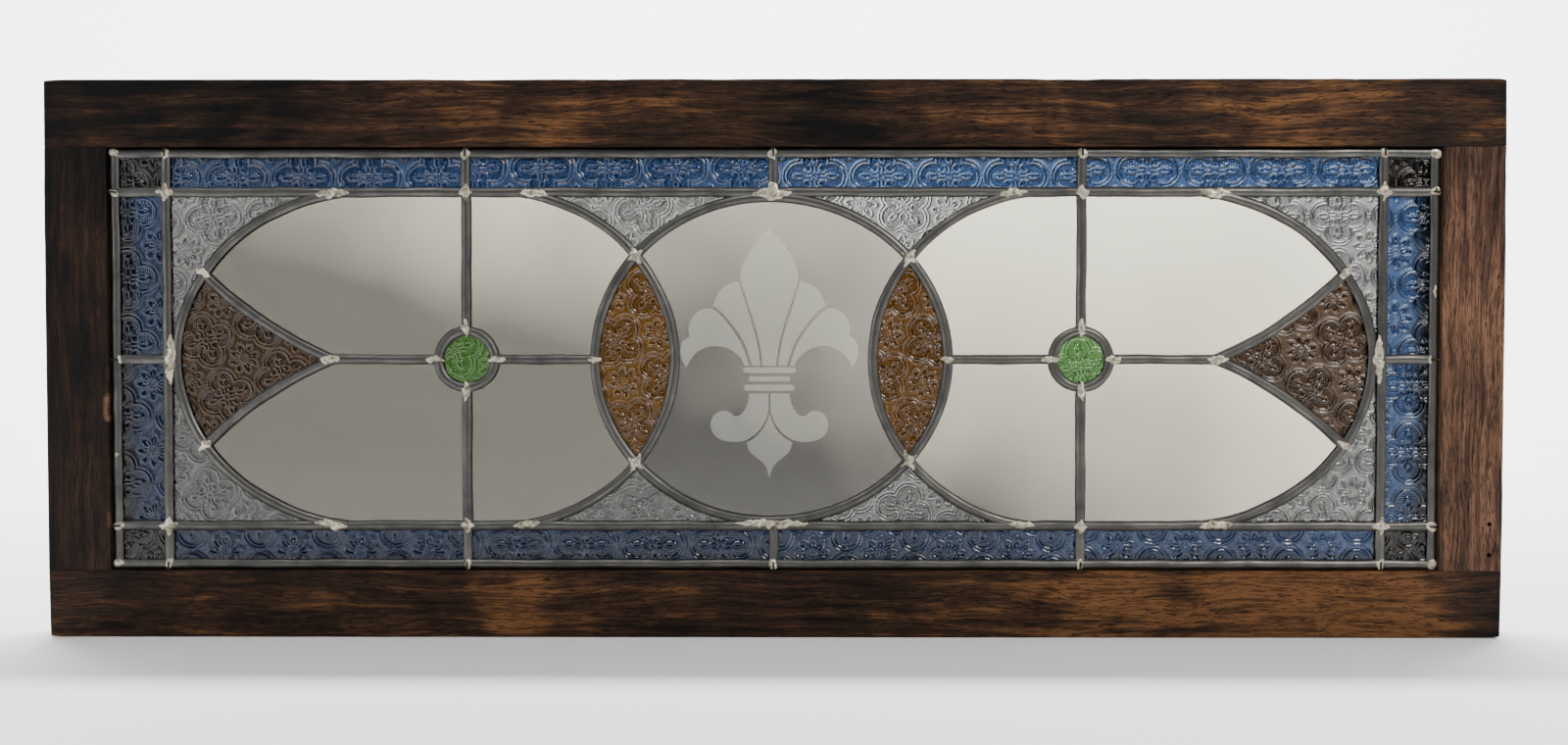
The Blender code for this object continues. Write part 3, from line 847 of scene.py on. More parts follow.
def curved_came_lines():
    lines = []
    for side in (-1, 1):
        tip = (side * END_TIP_X, 0.0)
        for up in (-1, 1):
            corner = (side * end_piece_corner(), up * END_PIECE_HALF_HEIGHT)
            lines.append(arc_line(tip, corner, -side * up * END_PIECE_SAGITTA))
        lines.append(oval_end(side, OVAL_END_X, OVAL_OUTER_REACH))
        lines.append(oval_end(-side, -OVAL_TIP_X, OVAL_INNER_REACH))
    return lines


def ring_came_lines():
    rings = [ellipse_line(CIRCLE_SHIFT, CIRCLE_HALF_WIDTH, CIRCLE_HALF_HEIGHT, 0.0, 2 * pi, 360)]
    for side in (-1, 1):
        rings.append(ellipse_line(side * RONDEL_X, RING_RADIUS, RING_RADIUS, 0.0, 2 * pi, 90))
    return rings


def even_steps(points, step):
    """The same line with its points an even step apart, and its whole length."""
    lengths = [0.0]
    for first, second in zip(points, points[1:]):
        lengths.append(lengths[-1] + hypot(second[0] - first[0], second[1] - first[1]))
    total = lengths[-1]
    count = max(2, round(total / step))
    places = np.linspace(0.0, total, count + 1)
    xs = np.interp(places, lengths, [x for x, z in points])
    zs = np.interp(places, lengths, [z for x, z in points])
    return list(zip(xs, zs)), total


def came_section():
    """The worn H-section of a came: (across, depth), round on both crowns."""
    edge = CAME_WIDTH / 2
    heart = CAME_HEART / 2
    face = CAME_THICKNESS / 2
    half = [(0.0, -face - CROWN_RISE), (0.0011, -face - CROWN_RISE * 0.78), (0.0020, -face + 0.00015),
            (0.0027, -face + 0.0006), (edge, -CAME_CHANNEL - 0.00015), (edge - 0.0002, -CAME_CHANNEL),
            (heart, -CAME_CHANNEL)]
    right = half + [(across, -depth) for across, depth in reversed(half)]
    left = [(-across, depth) for across, depth in reversed(right)]
    return right + left[1:-1]


def wobble(share, total, phases, closed):
    """Sideways sway and swelling of a came at a share of its length, as hand work leaves them."""
    if closed:
        sway, waves, calm = RING_SWAY, RING_WAVES, 1.0
    else:
        travel = share * total
        sway, waves = STRIP_SWAY, [total / wave for wave in STRIP_WAVES]
        calm = min(1.0, travel / CALM_END, (total - travel) / CALM_END)
    swings = [sin(2 * pi * share * wave + phase) for wave, phase in zip(waves, phases)]
    return calm * (sway[0] * swings[0] + sway[1] * swings[1]), 1.0 + SWELL * swings[2]


def around(ring):
    """Each point of a ring with the next one."""
    return zip(ring, ring[1:] + ring[:1])


def new_verts(made):
    return [item for item in made["geom"] if isinstance(item, bmesh.types.BMVert)]


def came(shape, points, rng, closed=False):
    """Extrude the came's section along a line, and give its first and last ring."""
    small = closed and len(points) <= 100
    points, total = even_steps(points, SMALL_RING_STEP if small else CAME_STEP)
    count = len(points) - 1
    phases = [rng.uniform(0.0, 2 * pi) for each in range(4)]
    section = came_section()
    ring = None
    for index, (x, z) in enumerate(points):
        if closed:
            before, after = points[(index - 1) % count], points[(index + 1) % count]
        else:
            before, after = points[max(index - 1, 0)], points[min(index + 1, count)]
        along = Vector((after[0] - before[0], after[1] - before[1])).normalized()
        sway, swell = wobble(index / count, total, phases, closed)
        places = []
        for across, depth in section:
            offset = across * swell + sway
            places.append(Vector((x - offset * along.y, GLASS_Y + depth,
                                  MID_Z + z + offset * along.x)))
        if ring is None:
            first_ring = ring = [shape.verts.new(place) for place in places]
            for pair in around(ring):
                shape.edges.new(pair)
            continue
        edges = [shape.edges.get(pair) for pair in around(ring)]
        made = bmesh.ops.extrude_edge_only(shape, edges=edges)
        ring = match_ring(ring, set(new_verts(made)))
        for vert, place in zip(ring, places):
            vert.co = place
    return first_ring, ring


def match_ring(ring, moved):
    """The extruded points in the order of the ring that they came from."""
    following = []
    for vert in ring:
        for edge in vert.link_edges:
            other = edge.other_vert(vert)
            if other in moved:
                following.append(other)
                break
    return following


def join_shape(whole, part):
    """Add a small bmesh to a large one; operators are quickest on small ones."""
    mesh = bpy.data.meshes.new("joined_part")
    part.to_mesh(mesh)
    part.free()
    whole.from_mesh(mesh)
    bpy.data.meshes.remove(mesh)


def build_came_net():
    rng = random.Random(11)
    shape = bmesh.new()
    for points in straight_came_lines() + curved_came_lines():
        strip = bmesh.new()
        for ring in came(strip, points, rng):
            strip.faces.new(ring)
        bmesh.ops.recalc_face_normals(strip, faces=strip.faces)
        join_shape(shape, strip)
    for points in ring_came_lines():
        strip = bmesh.new()
        start, end = came(strip, points, rng, closed=True)
        bmesh.ops.weld_verts(strip, targetmap=dict(zip(end, start)))
        bmesh.ops.recalc_face_normals(strip, faces=strip.faces)
        join_shape(shape, strip)
    keep_in_opening(shape)
    return add_object("lead_came_net", shape, LEAD)


# The solder joints


def crossing_place(side, up):
    """Where the centre circle crosses an oval's inner end."""
    low, high = 0.0, pi / 2
    centre = side * (OVAL_TIP_X + OVAL_INNER_REACH)
    for each in range(40):
        middle = (low + high) / 2
        x = CIRCLE_SHIFT + side * CIRCLE_HALF_WIDTH * cos(middle)
        z = CIRCLE_HALF_HEIGHT * sin(middle)
        inside = ((x - centre) / OVAL_INNER_REACH) ** 2 + (z / OVAL_HALF_HEIGHT) ** 2 < 1
        if inside:
            low = middle
        else:
            high = middle
    return x, up * z


def solder_patches():
    """Every joint, as (x, z, angle, half length, half width, thickness, on the back too)."""
    patches = []
    for x_side in (-1, 1):
        for z_side in (-1, 1):
            slope = x_side * z_side
            outer_x, inner_x, rondel_x = (x_side * place for place in (OUTER_X, INNER_X, RONDEL_X))
            outer_z, inner_z, merge_z = (z_side * place for place in (OUTER_Z, INNER_Z, MERGE_Z))
            outer_merge, inner_merge = x_side * OUTER_MERGE_X[z_side], x_side * INNER_MERGE_X[z_side]
            cross_x, cross_z = crossing_place(x_side, z_side)
            corner_x, corner_z = x_side * end_piece_corner(), z_side * END_PIECE_HALF_HEIGHT
            ring_x = x_side * (RONDEL_X + z_side * RING_JOINT_REACH)
            patches += [(outer_x, outer_z, 0.0, 0.0026, 0.0030, 0.0007, False),
                        (inner_x, inner_z, 0.0, 0.0058, 0.0021, 0.0009, True),
                        (inner_x, inner_z, UPRIGHT, 0.0058, 0.0021, 0.0009, True),
                        (outer_x, inner_z, 0.0, 0.0030, 0.0026, 0.0007, False),
                        (inner_x, outer_z, UPRIGHT, 0.0034, 0.0022, 0.0007, False),
                        (rondel_x, outer_z, UPRIGHT, 0.0034, 0.0024, 0.0007, False),
                        (rondel_x, inner_z, UPRIGHT, 0.0046, 0.0024, 0.0009, True),
                        (rondel_x, inner_z, 0.0, 0.0040, 0.0020, 0.0007, True),
                        (outer_merge, merge_z, -slope * 0.10, 0.0105, 0.0026, 0.0012, True),
                        (inner_merge, merge_z, slope * 0.10, 0.0085, 0.0023, 0.0011, True),
                        (cross_x, cross_z, -slope * 0.62, 0.0058, 0.0017, 0.0012, True),
                        (cross_x, cross_z, slope * 1.05, 0.0068, 0.0019, 0.0012, True),
                        (corner_x, corner_z, slope * 0.62, 0.0050, 0.0023, 0.0010, True),
                        (rondel_x, z_side * RING_JOINT_REACH, UPRIGHT, 0.0058, 0.0021, 0.0009, True),
                        (ring_x, 0.0, 0.0, 0.0056, 0.0021, 0.0009, True)]
        circle_x = CIRCLE_SHIFT + x_side * CIRCLE_HALF_WIDTH
        patches += [(0.0, x_side * OUTER_Z, UPRIGHT, 0.0036, 0.0024, 0.0008, False),
                    (x_side * (OUTER_X - 0.0024), 0.0, UPRIGHT, 0.0030, 0.0013, 0.0007, False),
                    (x_side * 0.3796, 0.0, UPRIGHT, 0.0155, 0.0027, 0.0012, True),
                    (x_side * END_TIP_X * 1.004, 0.0, 0.0, 0.0062, 0.0028, 0.0010, True),
                    (circle_x, 0.0, 0.0, 0.0046, 0.0020, 0.0009, True)]
    return patches + [(CIRCLE_SHIFT, 0.1036, 0.0, 0.0115, 0.0030, 0.0011, True),
                      (CIRCLE_SHIFT, -0.1036, 0.0, 0.0225, 0.0026, 0.0013, True),
                      (-0.0004, 0.1080, UPRIGHT, 0.0030, 0.0032, 0.0009, True),
                      (-OUTER_X, -0.0602, UPRIGHT, 0.0018, 0.0013, 0.0012, False),
                      (OUTER_X, 0.0427, UPRIGHT, 0.0048, 0.0010, 0.0008, False)]


def solder_lump(shape, x, z, facing, angle, sizes):
    """One flattened lump on the front (-1) or back (+1) crown of a came."""
    along, across, proud = sizes
    surface = GLASS_Y + facing * (CAME_THICKNESS / 2 + LUMP_LIFT)
    place = (Matrix.Translation((x, surface, MID_Z + z)) @ Matrix.Rotation(-angle, 4, "Y")
             @ Matrix.Diagonal((along, proud + LUMP_SINK, across, 1.0)))
    bmesh.ops.create_icosphere(shape, subdivisions=2, radius=1.0, matrix=place)


def solder_patch(shape, patch, facing, rng):
    """A run of overlapping lumps, thick in the middle and feathered at both ends."""
    x, z, angle, half_length, half_width, thickness = patch[:-1]
    count = max(3, ceil(half_length / LUMP_STEP))
    for index in range(count):
        share = (index + rng.uniform(0.25, 0.75)) / count * 2 - 1
        taper = sqrt(max(0.15, 1 - share * share))
        along = share * (half_length - half_width * 0.5)
        sideways = rng.uniform(-0.45, 0.45) * half_width * taper
        place_x = x + along * cos(angle) - sideways * sin(angle)
        place_z = z + along * sin(angle) + sideways * cos(angle)
        sizes = (half_width * rng.uniform(0.85, 1.5), half_width * taper * rng.uniform(0.85, 1.35),
                 thickness * taper * rng.uniform(0.7, 1.15))
        solder_lump(shape, place_x, place_z, facing, angle + rng.uniform(-0.5, 0.5), sizes)


def solder_joints(facing):
    """The patches gathered by joint, so that each joint is fused by itself."""
    joints = []
    for patch in solder_patches():
        if facing > 0 and not patch[-1]:
            continue
        near = [joint for joint in joints
                if hypot(joint[0][0] - patch[0], joint[0][1] - patch[1]) < JOINT_REACH]
        if near:
            near[0].append(patch)
        else:
            joints.append([patch])
    return joints


def fused_joint(name, joint, facing, rng):
    """One joint's lumps as an object whose modifiers melt them together."""
    lumps = bmesh.new()
    for patch in joint:
        solder_patch(lumps, patch, facing, rng)
    helper = add_object(name, lumps, SOLDER)
    fused = helper.modifiers.new("fuse", "REMESH")
    fused.mode = "VOXEL"
    fused.voxel_size = SOLDER_VOXEL if facing < 0 else SOLDER_VOXEL * 1.4
    relaxed = helper.modifiers.new("relax", "SMOOTH")
    relaxed.factor = 0.5
    relaxed.iterations = 2
    return helper


def build_solder(name, facing, seed):
    rng = random.Random(seed)
    helpers = [fused_joint(f"{name}_{index}", joint, facing, rng)
               for index, joint in enumerate(solder_joints(facing))]
    graph = bpy.context.evaluated_depsgraph_get()
    whole = bmesh.new()
    for helper in helpers:
        melted = bpy.data.meshes.new_from_object(helper.evaluated_get(graph))
        whole.from_mesh(melted)
        bpy.data.meshes.remove(melted)
    for helper in helpers:
        bpy.data.objects.remove(helper, do_unlink=True)
    whole.normal_update()
    for vert in whole.verts:
        rough = noise.noise(vert.co * 420.0 + Vector((seed, 0.0, 0.0)))
        rough += 0.5 * noise.noise(vert.co * 1100.0)
        vert.co += vert.normal * rough * SOLDER_ROUGHNESS
    if facing < 0:
        press_pits(whole)
    for vert in whole.verts:
        vert.co.y = max(vert.co.y, SOLDER_FRONT_Y)
    keep_in_opening(whole)
    return add_object(name, whole, SOLDER)


def press_pits(shape):
    """Small holes in the solder, where the photograph shows them."""
    pits = [window_point(x, y) for x, y in PHOTO_PITS]
    for vert in shape.verts:
        for x, z in pits:
            far = hypot(vert.co.x - x, vert.co.z - MID_Z - z)
            if far < PIT_REACH:
                vert.co.y += PIT_REACH * (1 - (far / PIT_REACH) ** 2)


def keep_in_opening(shape):
    """Hold lead and solder inside the frame's opening."""
    reach_x, reach_z = OUTER_X + CAME_WIDTH / 2, OUTER_Z + CAME_WIDTH / 2
    for vert in shape.verts:
        vert.co.x = max(-reach_x, min(reach_x, vert.co.x))
        vert.co.z = max(MID_Z - reach_z, min(MID_Z + reach_z, vert.co.z))


# The pressed glass


def sheet_places(mesh, layout):
    """Places of the points of a mesh, and where they lie on the pattern, counted in motifs."""
    pitch, origin, turn = layout
    co = np.zeros(len(mesh.vertices) * 3)
    mesh.vertices.foreach_get("co", co)
    co = co.reshape(-1, 3)
    x = (co[:, 0] - origin[0]) / pitch
    z = (co[:, 2] - MID_Z - origin[1]) / pitch
    return co, x * cos(turn) + z * sin(turn), -x * sin(turn) + z * cos(turn)


def pressed_sheet(name, low, high, layout):
    """A slab over a rectangle whose front face carries the pressed pattern."""
    width, height = high.x - low.x, high.z - low.z
    centre = ((low.x + high.x) / 2, low.y, (low.z + high.z) / 2)
    place = (Matrix.Translation(centre) @ Matrix.Rotation(pi / 2, 4, "X")
             @ Matrix.Diagonal((width / 2, height / 2, 1.0, 1.0)))
    shape = bmesh.new()
    bmesh.ops.create_grid(shape, x_segments=max(4, ceil(width / RELIEF_STEP)),
                          y_segments=max(4, ceil(height / RELIEF_STEP)), size=1.0, matrix=place)
    rim = [edge for edge in shape.edges if edge.is_boundary]
    for vert in new_verts(bmesh.ops.extrude_edge_only(shape, edges=rim)):
        vert.co.y = high.y
    back_edges = [edge for edge in shape.edges if edge.is_boundary]
    bmesh.ops.edgeloop_fill(shape, edges=back_edges)
    bmesh.ops.recalc_face_normals(shape, faces=shape.faces)
    mesh = bpy.data.meshes.new(name)
    shape.to_mesh(mesh)
    shape.free()
    co, u, v = sheet_places(mesh, layout)
    front = co[:, 1] < (low.y + high.y) / 2
    height = pressed_pattern(u, v)[0]
    co[:, 1] += np.where(front, RELIEF_DEPTH * (1.0 - height), 0.0)
    mesh.vertices.foreach_set("co", co.ravel())
    return mesh


def mark_pattern(mesh, layout):
    """Tell the material where each point lies on the pattern."""
    co, u, v = sheet_places(mesh, layout)
    made = mesh.attributes.new("sheet", "FLOAT_VECTOR", "POINT")
    made.data.foreach_set("vector", np.column_stack((u, v, v * 0.0)).astype(np.float32).ravel())


def merged_copy(node):
    """A merged bmesh copy of a node of the part."""
    shape = bmesh.new()
    shape.from_mesh(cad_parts[node].data)
    bmesh.ops.remove_doubles(shape, verts=shape.verts, dist=1e-6)
    return shape


def pressed_pane(node, material, layout):
    """A pane of pressed glass in the outline of its node."""
    low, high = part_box(node)
    name = node + "_pressed"
    rectangle = node.startswith(("corner_square", "blue_border"))
    if rectangle:
        mesh = pressed_sheet(name, low, high, layout)
    else:
        room = Vector((SHEET_MARGIN, 0.0, SHEET_MARGIN))
        sheet = add_mesh(name + "_sheet", pressed_sheet(name, low - room, high + room, layout),
                         material)
        outline = merged_copy(node)
        for vert in outline.verts:
            vert.co.y = GLASS_Y + (vert.co.y - GLASS_Y) * CUTTER_DEPTH
        cutter = add_object(name + "_outline", outline, material, smooth=False)
        mesh = cut_with(cutter, sheet, "INTERSECT")
    mark_pattern(mesh, layout)
    obj = add_mesh(name, mesh, material, smooth=False)
    shade_front(mesh)
    return obj


def shade_front(mesh):
    """Smooth the relief, and leave the back and the cut edges flat."""
    normals = np.zeros(len(mesh.polygons) * 3)
    mesh.polygons.foreach_get("normal", normals)
    smooth = normals.reshape(-1, 3)[:, 1] < -0.3
    mesh.polygons.foreach_set("use_smooth", smooth)


def pressed_panes():
    """Every pressed pane, as (node, slot, material, pitch, origin, turn)."""
    panes = []
    for side, mirror, clear in (("left", -1, SHADED_PATTERN_LEFT), ("right", 1, LIT_PATTERN_RIGHT)):
        for level, up in (("top", 1), ("bottom", -1)):
            panes += [(f"circle_spandrel_{side}_{level}", "pattern_glass", clear, CLEAR_PITCH,
                       (mirror * 0.082, up * 0.0955), 0.5 * up + 0.2 * mirror),
                      (f"corner_square_{side}_{level}", "dark_amber_glass", DARK_AMBER,
                       AMBER_PITCH, (mirror * 0.4085, up * 0.1105), 0.0)]
    for place, clear, origin, turn in (
            ("right_top", LIT_PATTERN_RIGHT, (0.3542, 0.0903), 0.0),
            ("right_bottom", LIT_PATTERN_RIGHT, (0.3840, -0.0643), 0.0),
            ("left_top", SHADED_PATTERN_LEFT, (-0.3520, 0.0890), 0.1),
            ("left_bottom", SHADED_PATTERN_LEFT, (-0.3560, -0.0850), 0.2)):
        panes.append(("corner_spandrel_" + place, "pattern_glass", clear, CLEAR_PITCH, origin, turn))
    for place, blue, pitch, origin in (
            ("side_right_top", LIT_BLUE_RIGHT, BLUE_PITCH, (0.4111, 0.0466)),
            ("side_right_bottom", LIT_BLUE_RIGHT, BLUE_PITCH, (0.3993, -0.0166)),
            ("side_left_top", SHADED_BLUE_LEFT, BLUE_PITCH, (-0.4070, 0.0510)),
            ("side_left_bottom", SHADED_BLUE_LEFT, BLUE_PITCH, (-0.4120, -0.0360)),
            ("top_right_outer", LIT_BLUE_RIGHT, BLUE_PITCH, (0.2763, 0.1186)),
            ("bottom_right_outer", LIT_BLUE_RIGHT, BLUE_BOTTOM_PITCH, (0.3246, -0.0958)),
            ("top_right_inner", LIT_BLUE_RIGHT, BLUE_PITCH, (0.0680, 0.1150)),
            ("bottom_right_inner", LIT_BLUE_RIGHT, BLUE_BOTTOM_PITCH, (0.0890, -0.1010)),
            ("top_left_inner", SHADED_BLUE_LEFT, BLUE_PITCH, (-0.0610, 0.1200)),
            ("bottom_left_inner", SHADED_BLUE_LEFT, BLUE_BOTTOM_PITCH, (-0.0760, -0.1170)),
            ("top_left_outer", SHADED_BLUE_LEFT, BLUE_PITCH, (-0.2950, 0.1140)),
            ("bottom_left_outer", SHADED_BLUE_LEFT, BLUE_BOTTOM_PITCH, (-0.2820, -0.0990))):
        panes.append(("blue_border_" + place, "blue_glass", blue, pitch, origin, 0.0))
    for node, slot, tone, pitch, origin, turn in (
            ("amber_lens_left", "amber_glass", AMBER, AMBER_PITCH, (-0.0985, 0.012), -0.62),
            ("amber_lens_right", "amber_glass", AMBER, AMBER_PITCH, (0.0985, 0.012), 0.62),
            ("amber_end_left", "amber_glass", SHADED_END_LEFT, AMBER_PITCH, (-0.3575, 0.0123), 0.35),
            ("amber_end_right", "amber_glass", LIT_END_RIGHT, AMBER_PITCH, (0.3573, 0.0123), -0.5515),
            ("rondel_left", "green_glass", GREEN_LEFT, CLEAR_PITCH, (-0.2010, 0.0060), 0.4),
            ("rondel_right", "green_glass", GREEN_RIGHT, CLEAR_PITCH, (0.1931, -0.0037), 0.2)):
        panes.append((node, slot, tone, pitch, origin, turn))
    return panes


def build_pressed_glass():
    """The pressed panes, each with its node and slot."""
    return [(pressed_pane(node, material, (pitch, origin, turn)), node, slot)
            for node, slot, material, pitch, origin, turn in pressed_panes()]


# The etched centre pane


def smooth_run(points, steps=5):
    """A smooth line through the points, which are in millimetres."""
    places = [Vector(point) for point in points]
    if len(places) < 3:
        return places
    padded = [places[0] * 2 - places[1]] + places + [places[-1] * 2 - places[-2]]
    line = []
    for index in range(1, len(padded) - 2):
        before, first, second, after = padded[index - 1:index + 3]
        for step in range(steps):
            t = step / steps
            line.append(0.5 * (2 * first + (second - before) * t
                               + (2 * before - 5 * first + 4 * second - after) * t * t
                               + (3 * first - before - 3 * second + after) * t * t * t))
    line.append(places[-1])
    return line


def petal_outline(runs):
    """A closed outline from smooth runs that meet in corners."""
    line = []
    for run in runs:
        line += smooth_run(run)[:-1]
    return line


def mirrored(line):
    """The other half of a line whose first half is on the right, taken on the way back."""
    return [Vector((-x, z)) for x, z in reversed(line)]


def fleur_outlines():
    """The parts of the fleur-de-lis, in millimetres about the middle of the circle."""
    side = [(18.2, 50.9), (17.7, 47.5), (15.5, 41.3), (12.8, 33.1), (8.6, 19.5), (5.9, 8.5), (4.1, -4.0)]
    crown = [(0.0, 82.0), (5.6, 76.4), (12.4, 67.5), (17.0, 58.6), (18.2, 50.9)]
    foot = [(4.1, -4.0), (-4.1, -4.0)]
    centre = petal_outline([crown, side, foot, mirrored(side), mirrored(crown)])
    second = petal_outline([
        [(19.4, 49.2), (25.1, 47.5), (30.6, 43.4), (33.6, 38.6), (35.4, 33.6)],
        [(35.4, 33.6), (30.6, 30.1), (25.1, 24.0), (19.6, 16.5), (15.0, 8.3), (10.9, -4.0)],
        [(10.9, -4.0), (5.7, -4.0)],
        [(5.7, -4.0), (7.4, 8.5), (10.1, 19.5), (14.3, 33.1), (17.0, 41.3), (19.4, 49.2)]])
    outer = petal_outline([
        [(12.7, -4.0), (16.6, 7.2), (21.1, 15.6), (26.6, 23.2), (32.1, 29.0), (36.3, 31.9)],
        [(36.3, 31.9), (40.2, 32.1), (45.0, 30.1), (49.1, 25.2), (50.8, 19.5), (50.2, 14.0)],
        [(50.2, 14.0), (53.9, 12.0), (55.9, 7.2), (55.4, 1.0), (52.5, -5.0)],
        [(52.5, -5.0), (49.8, -0.3), (45.7, 4.4), (40.2, 7.4), (34.7, 8.5), (29.2, 7.9), (23.7, 5.6),
         (18.4, 1.2), (15.4, -4.0)],
        [(15.4, -4.0), (12.7, -4.0)]])
    arm = petal_outline([
        [(0.6, -21.5), (0.6, -33.4)],
        [(0.6, -33.4), (3.2, -39.8), (7.3, -45.4), (11.2, -48.8), (14.8, -50.9)],
        [(14.8, -50.9), (19.6, -51.9), (25.1, -51.8), (31.3, -50.2), (35.4, -46.8), (37.0, -42.0),
         (36.1, -37.2), (33.3, -33.8), (29.2, -32.4), (25.1, -33.3), (22.4, -35.9)],
        [(22.4, -35.9), (18.9, -35.2), (16.6, -33.1), (14.6, -29.7), (13.3, -25.6), (12.8, -21.5)],
        [(12.8, -21.5), (0.6, -21.5)]])
    leaf_side = [(0.0, -34.2), (2.5, -40.9), (6.6, -46.8), (10.7, -50.3), (14.4, -52.4)]
    leaf_tip = [(14.4, -52.4), (12.9, -57.2), (9.3, -61.1), (4.5, -64.9), (1.6, -69.0), (0.0, -74.8)]
    leaf = petal_outline([leaf_side, leaf_tip, mirrored(leaf_tip), mirrored(leaf_side)])
    bars = []
    for top, bottom, reach in ((-5.0, -8.6, 16.7), (-10.7, -13.8, 13.3), (-15.9, -19.7, 15.9)):
        middle, half = (top + bottom) / 2, (top - bottom) / 2
        end = [(reach - half + half * cos(turn), middle + half * sin(turn))
               for turn in (pi / 2, pi / 4, 0.0, -pi / 4, -pi / 2)]
        other = mirrored(end)
        bars.append(petal_outline([end, [end[-1], other[0]], other, [other[-1], end[0]]]))
    both = [second, outer, arm]
    return [centre, leaf] + bars + both + [mirrored(outline) for outline in both]


def build_etched_pane():
    """The centre pane, its front face parted along the outlines of the etched ornament."""
    low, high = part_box("fleur_de_lis_pane")
    source = merged_copy("fleur_de_lis_pane")
    rim = []
    for face in source.faces:
        face.tag = face.normal.y < -0.9
    for edge in source.edges:
        if sum(1 for face in edge.link_faces if face.tag) == 1:
            rim.append([vert.co.copy() for vert in edge.verts])
    source.free()
    shape = bmesh.new()
    for ends in rim:
        shape.edges.new([shape.verts.new(Vector((co.x, low.y, co.z))) for co in ends])
    bmesh.ops.remove_doubles(shape, verts=shape.verts, dist=1e-6)
    loops = []
    for outline in fleur_outlines():
        verts = [shape.verts.new((ORNAMENT_X + point.x / MILLIMETRES, low.y,
                                  MID_Z + point.y / MILLIMETRES)) for point in outline]
        loops.append([shape.edges.new(pair) for pair in around(verts)])
    bmesh.ops.triangle_fill(shape, use_beauty=True, edges=shape.edges[:])
    for face in shape.faces:
        face.material_index = 0
    for edges in loops:
        made = bmesh.ops.triangle_fill(shape, use_beauty=True, edges=edges)
        for item in made["geom"]:
            if isinstance(item, bmesh.types.BMFace):
                item.material_index = 1
    outside = [edge for edge in shape.edges if edge.is_boundary]
    for vert in new_verts(bmesh.ops.extrude_edge_only(shape, edges=outside)):
        vert.co.y = high.y
    back = bmesh.ops.edgeloop_fill(shape, edges=[edge for edge in shape.edges if edge.is_boundary])
    for face in back["faces"]:
        face.material_index = 0
    obj = add_object("etched_centre_pane", shape, CENTRE, smooth=False)
    obj.data.materials.append(ETCHED)
    return obj


# The pins


def build_pin(node, rng):
    """A thin, slightly bowed brad over the outer came, its other end driven into the wood."""
    low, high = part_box(node)
    centre = (low + high) / 2
    upright = high.z - low.z > high.x - low.x
    length = (high - low)[2 if upright else 0]
    inward = -copysign(1.0, (centre.z - MID_Z) if upright else centre.x)
    bow = rng.uniform(-PIN_BOW, PIN_BOW)
    shape = bmesh.new()
    ring = bmesh.ops.create_circle(shape, segments=PIN_SIDES, radius=PIN_RADIUS)["verts"]
    edges = shape.edges[:]
    bmesh.ops.contextual_create(shape, geom=edges)
    rings = [(ring, 0.0)]
    for step in range(1, PIN_STEPS + 1):
        made = bmesh.ops.extrude_edge_only(shape, edges=edges)
        edges = [item for item in made["geom"] if isinstance(item, bmesh.types.BMEdge)]
        for vert in new_verts(made):
            vert.co.z = step / PIN_STEPS
        rings.append((new_verts(made), step / PIN_STEPS))
    bmesh.ops.contextual_create(shape, geom=edges)
    for ring, share in rings:
        point = max(0.0, share - PIN_POINT_START) / (1.0 - PIN_POINT_START)
        taper = 1.0 - 0.35 * point if share else PIN_HEAD
        for vert in ring:
            vert.co.x = vert.co.x * taper + bow * sin(pi * share)
            vert.co.y = vert.co.y * taper
            vert.co.z = (share - 0.5) * length
    if upright:
        turn = Matrix.Identity(4) if inward < 0 else Matrix.Rotation(pi, 4, "Y")
    else:
        turn = Matrix.Rotation(pi / 2 if inward < 0 else -pi / 2, 4, "Y")
    bmesh.ops.transform(shape, matrix=Matrix.Translation(centre) @ turn, verts=shape.verts)
    return add_object(node + "_brad", shape, IRON)


# The worn timber


def cut_across(shape, axis, places):
    """Part the faces of a shape along planes square to an axis."""
    facing = Vector((0.0, 0.0, 0.0))
    facing[axis] = 1.0
    for place in places:
        everything = shape.verts[:] + shape.edges[:] + shape.faces[:]
        bmesh.ops.bisect_plane(shape, geom=everything, plane_co=facing * place, plane_no=facing)


def wear(co):
    """How far the outer edges have worn back at a place on them."""
    slow = noise.noise(Vector((co.x * 16.0, 3.7, co.z * 16.0)))
    fast = noise.noise(Vector((co.x * 75.0, 9.1, co.z * 75.0)))
    corner = hypot(WIDTH / 2 - abs(co.x), min(co.z, HEIGHT - co.z))
    rounded = CORNER_WEAR * max(0.0, 1.0 - corner / CORNER_REACH)
    return max(0.0, SLOW_WEAR * slow + FAST_WEAR * fast) + rounded


def wear_edges(shape):
    """Wear back the outer edges of a piece of the frame."""
    for vert in shape.verts:
        back = wear(vert.co)
        if abs(vert.co.x) > WIDTH / 2 - OUTER_EDGE:
            vert.co.x -= copysign(back, vert.co.x)
        if vert.co.z > HEIGHT - OUTER_EDGE:
            vert.co.z -= back
        if vert.co.z < OUTER_EDGE:
            vert.co.z += back


def splinter(shape, inner, outward, chips):
    """Break chips out of the front edge at the opening, and mark where the wood lies bare."""
    worn = shape.verts.layers.float.new("worn")
    for vert in shape.verts:
        if abs(vert.co.x - inner) > CHIP_LIMIT or vert.co.y > CHIP_BACK_Y:
            continue
        for middle, half, depth in chips:
            share = 1.0 - ((vert.co.z - middle) / half) ** 2
            if share > 0.0:
                ragged = 0.7 + 0.8 * noise.noise(Vector((vert.co.z * 900.0, middle * 100.0, 0.0)))
                near = 1.0 - abs(vert.co.x - inner) / CHIP_REACH
                bare = min(1.0, 2.5 * share) * min(1.0, 1.6 * near)
                vert[worn] = bare * min(1.0, depth / FULL_CHIP_DEPTH)
                vert.co.x += outward * depth * share * ragged * near
                vert.co.y += 0.9 * depth * share * ragged * near


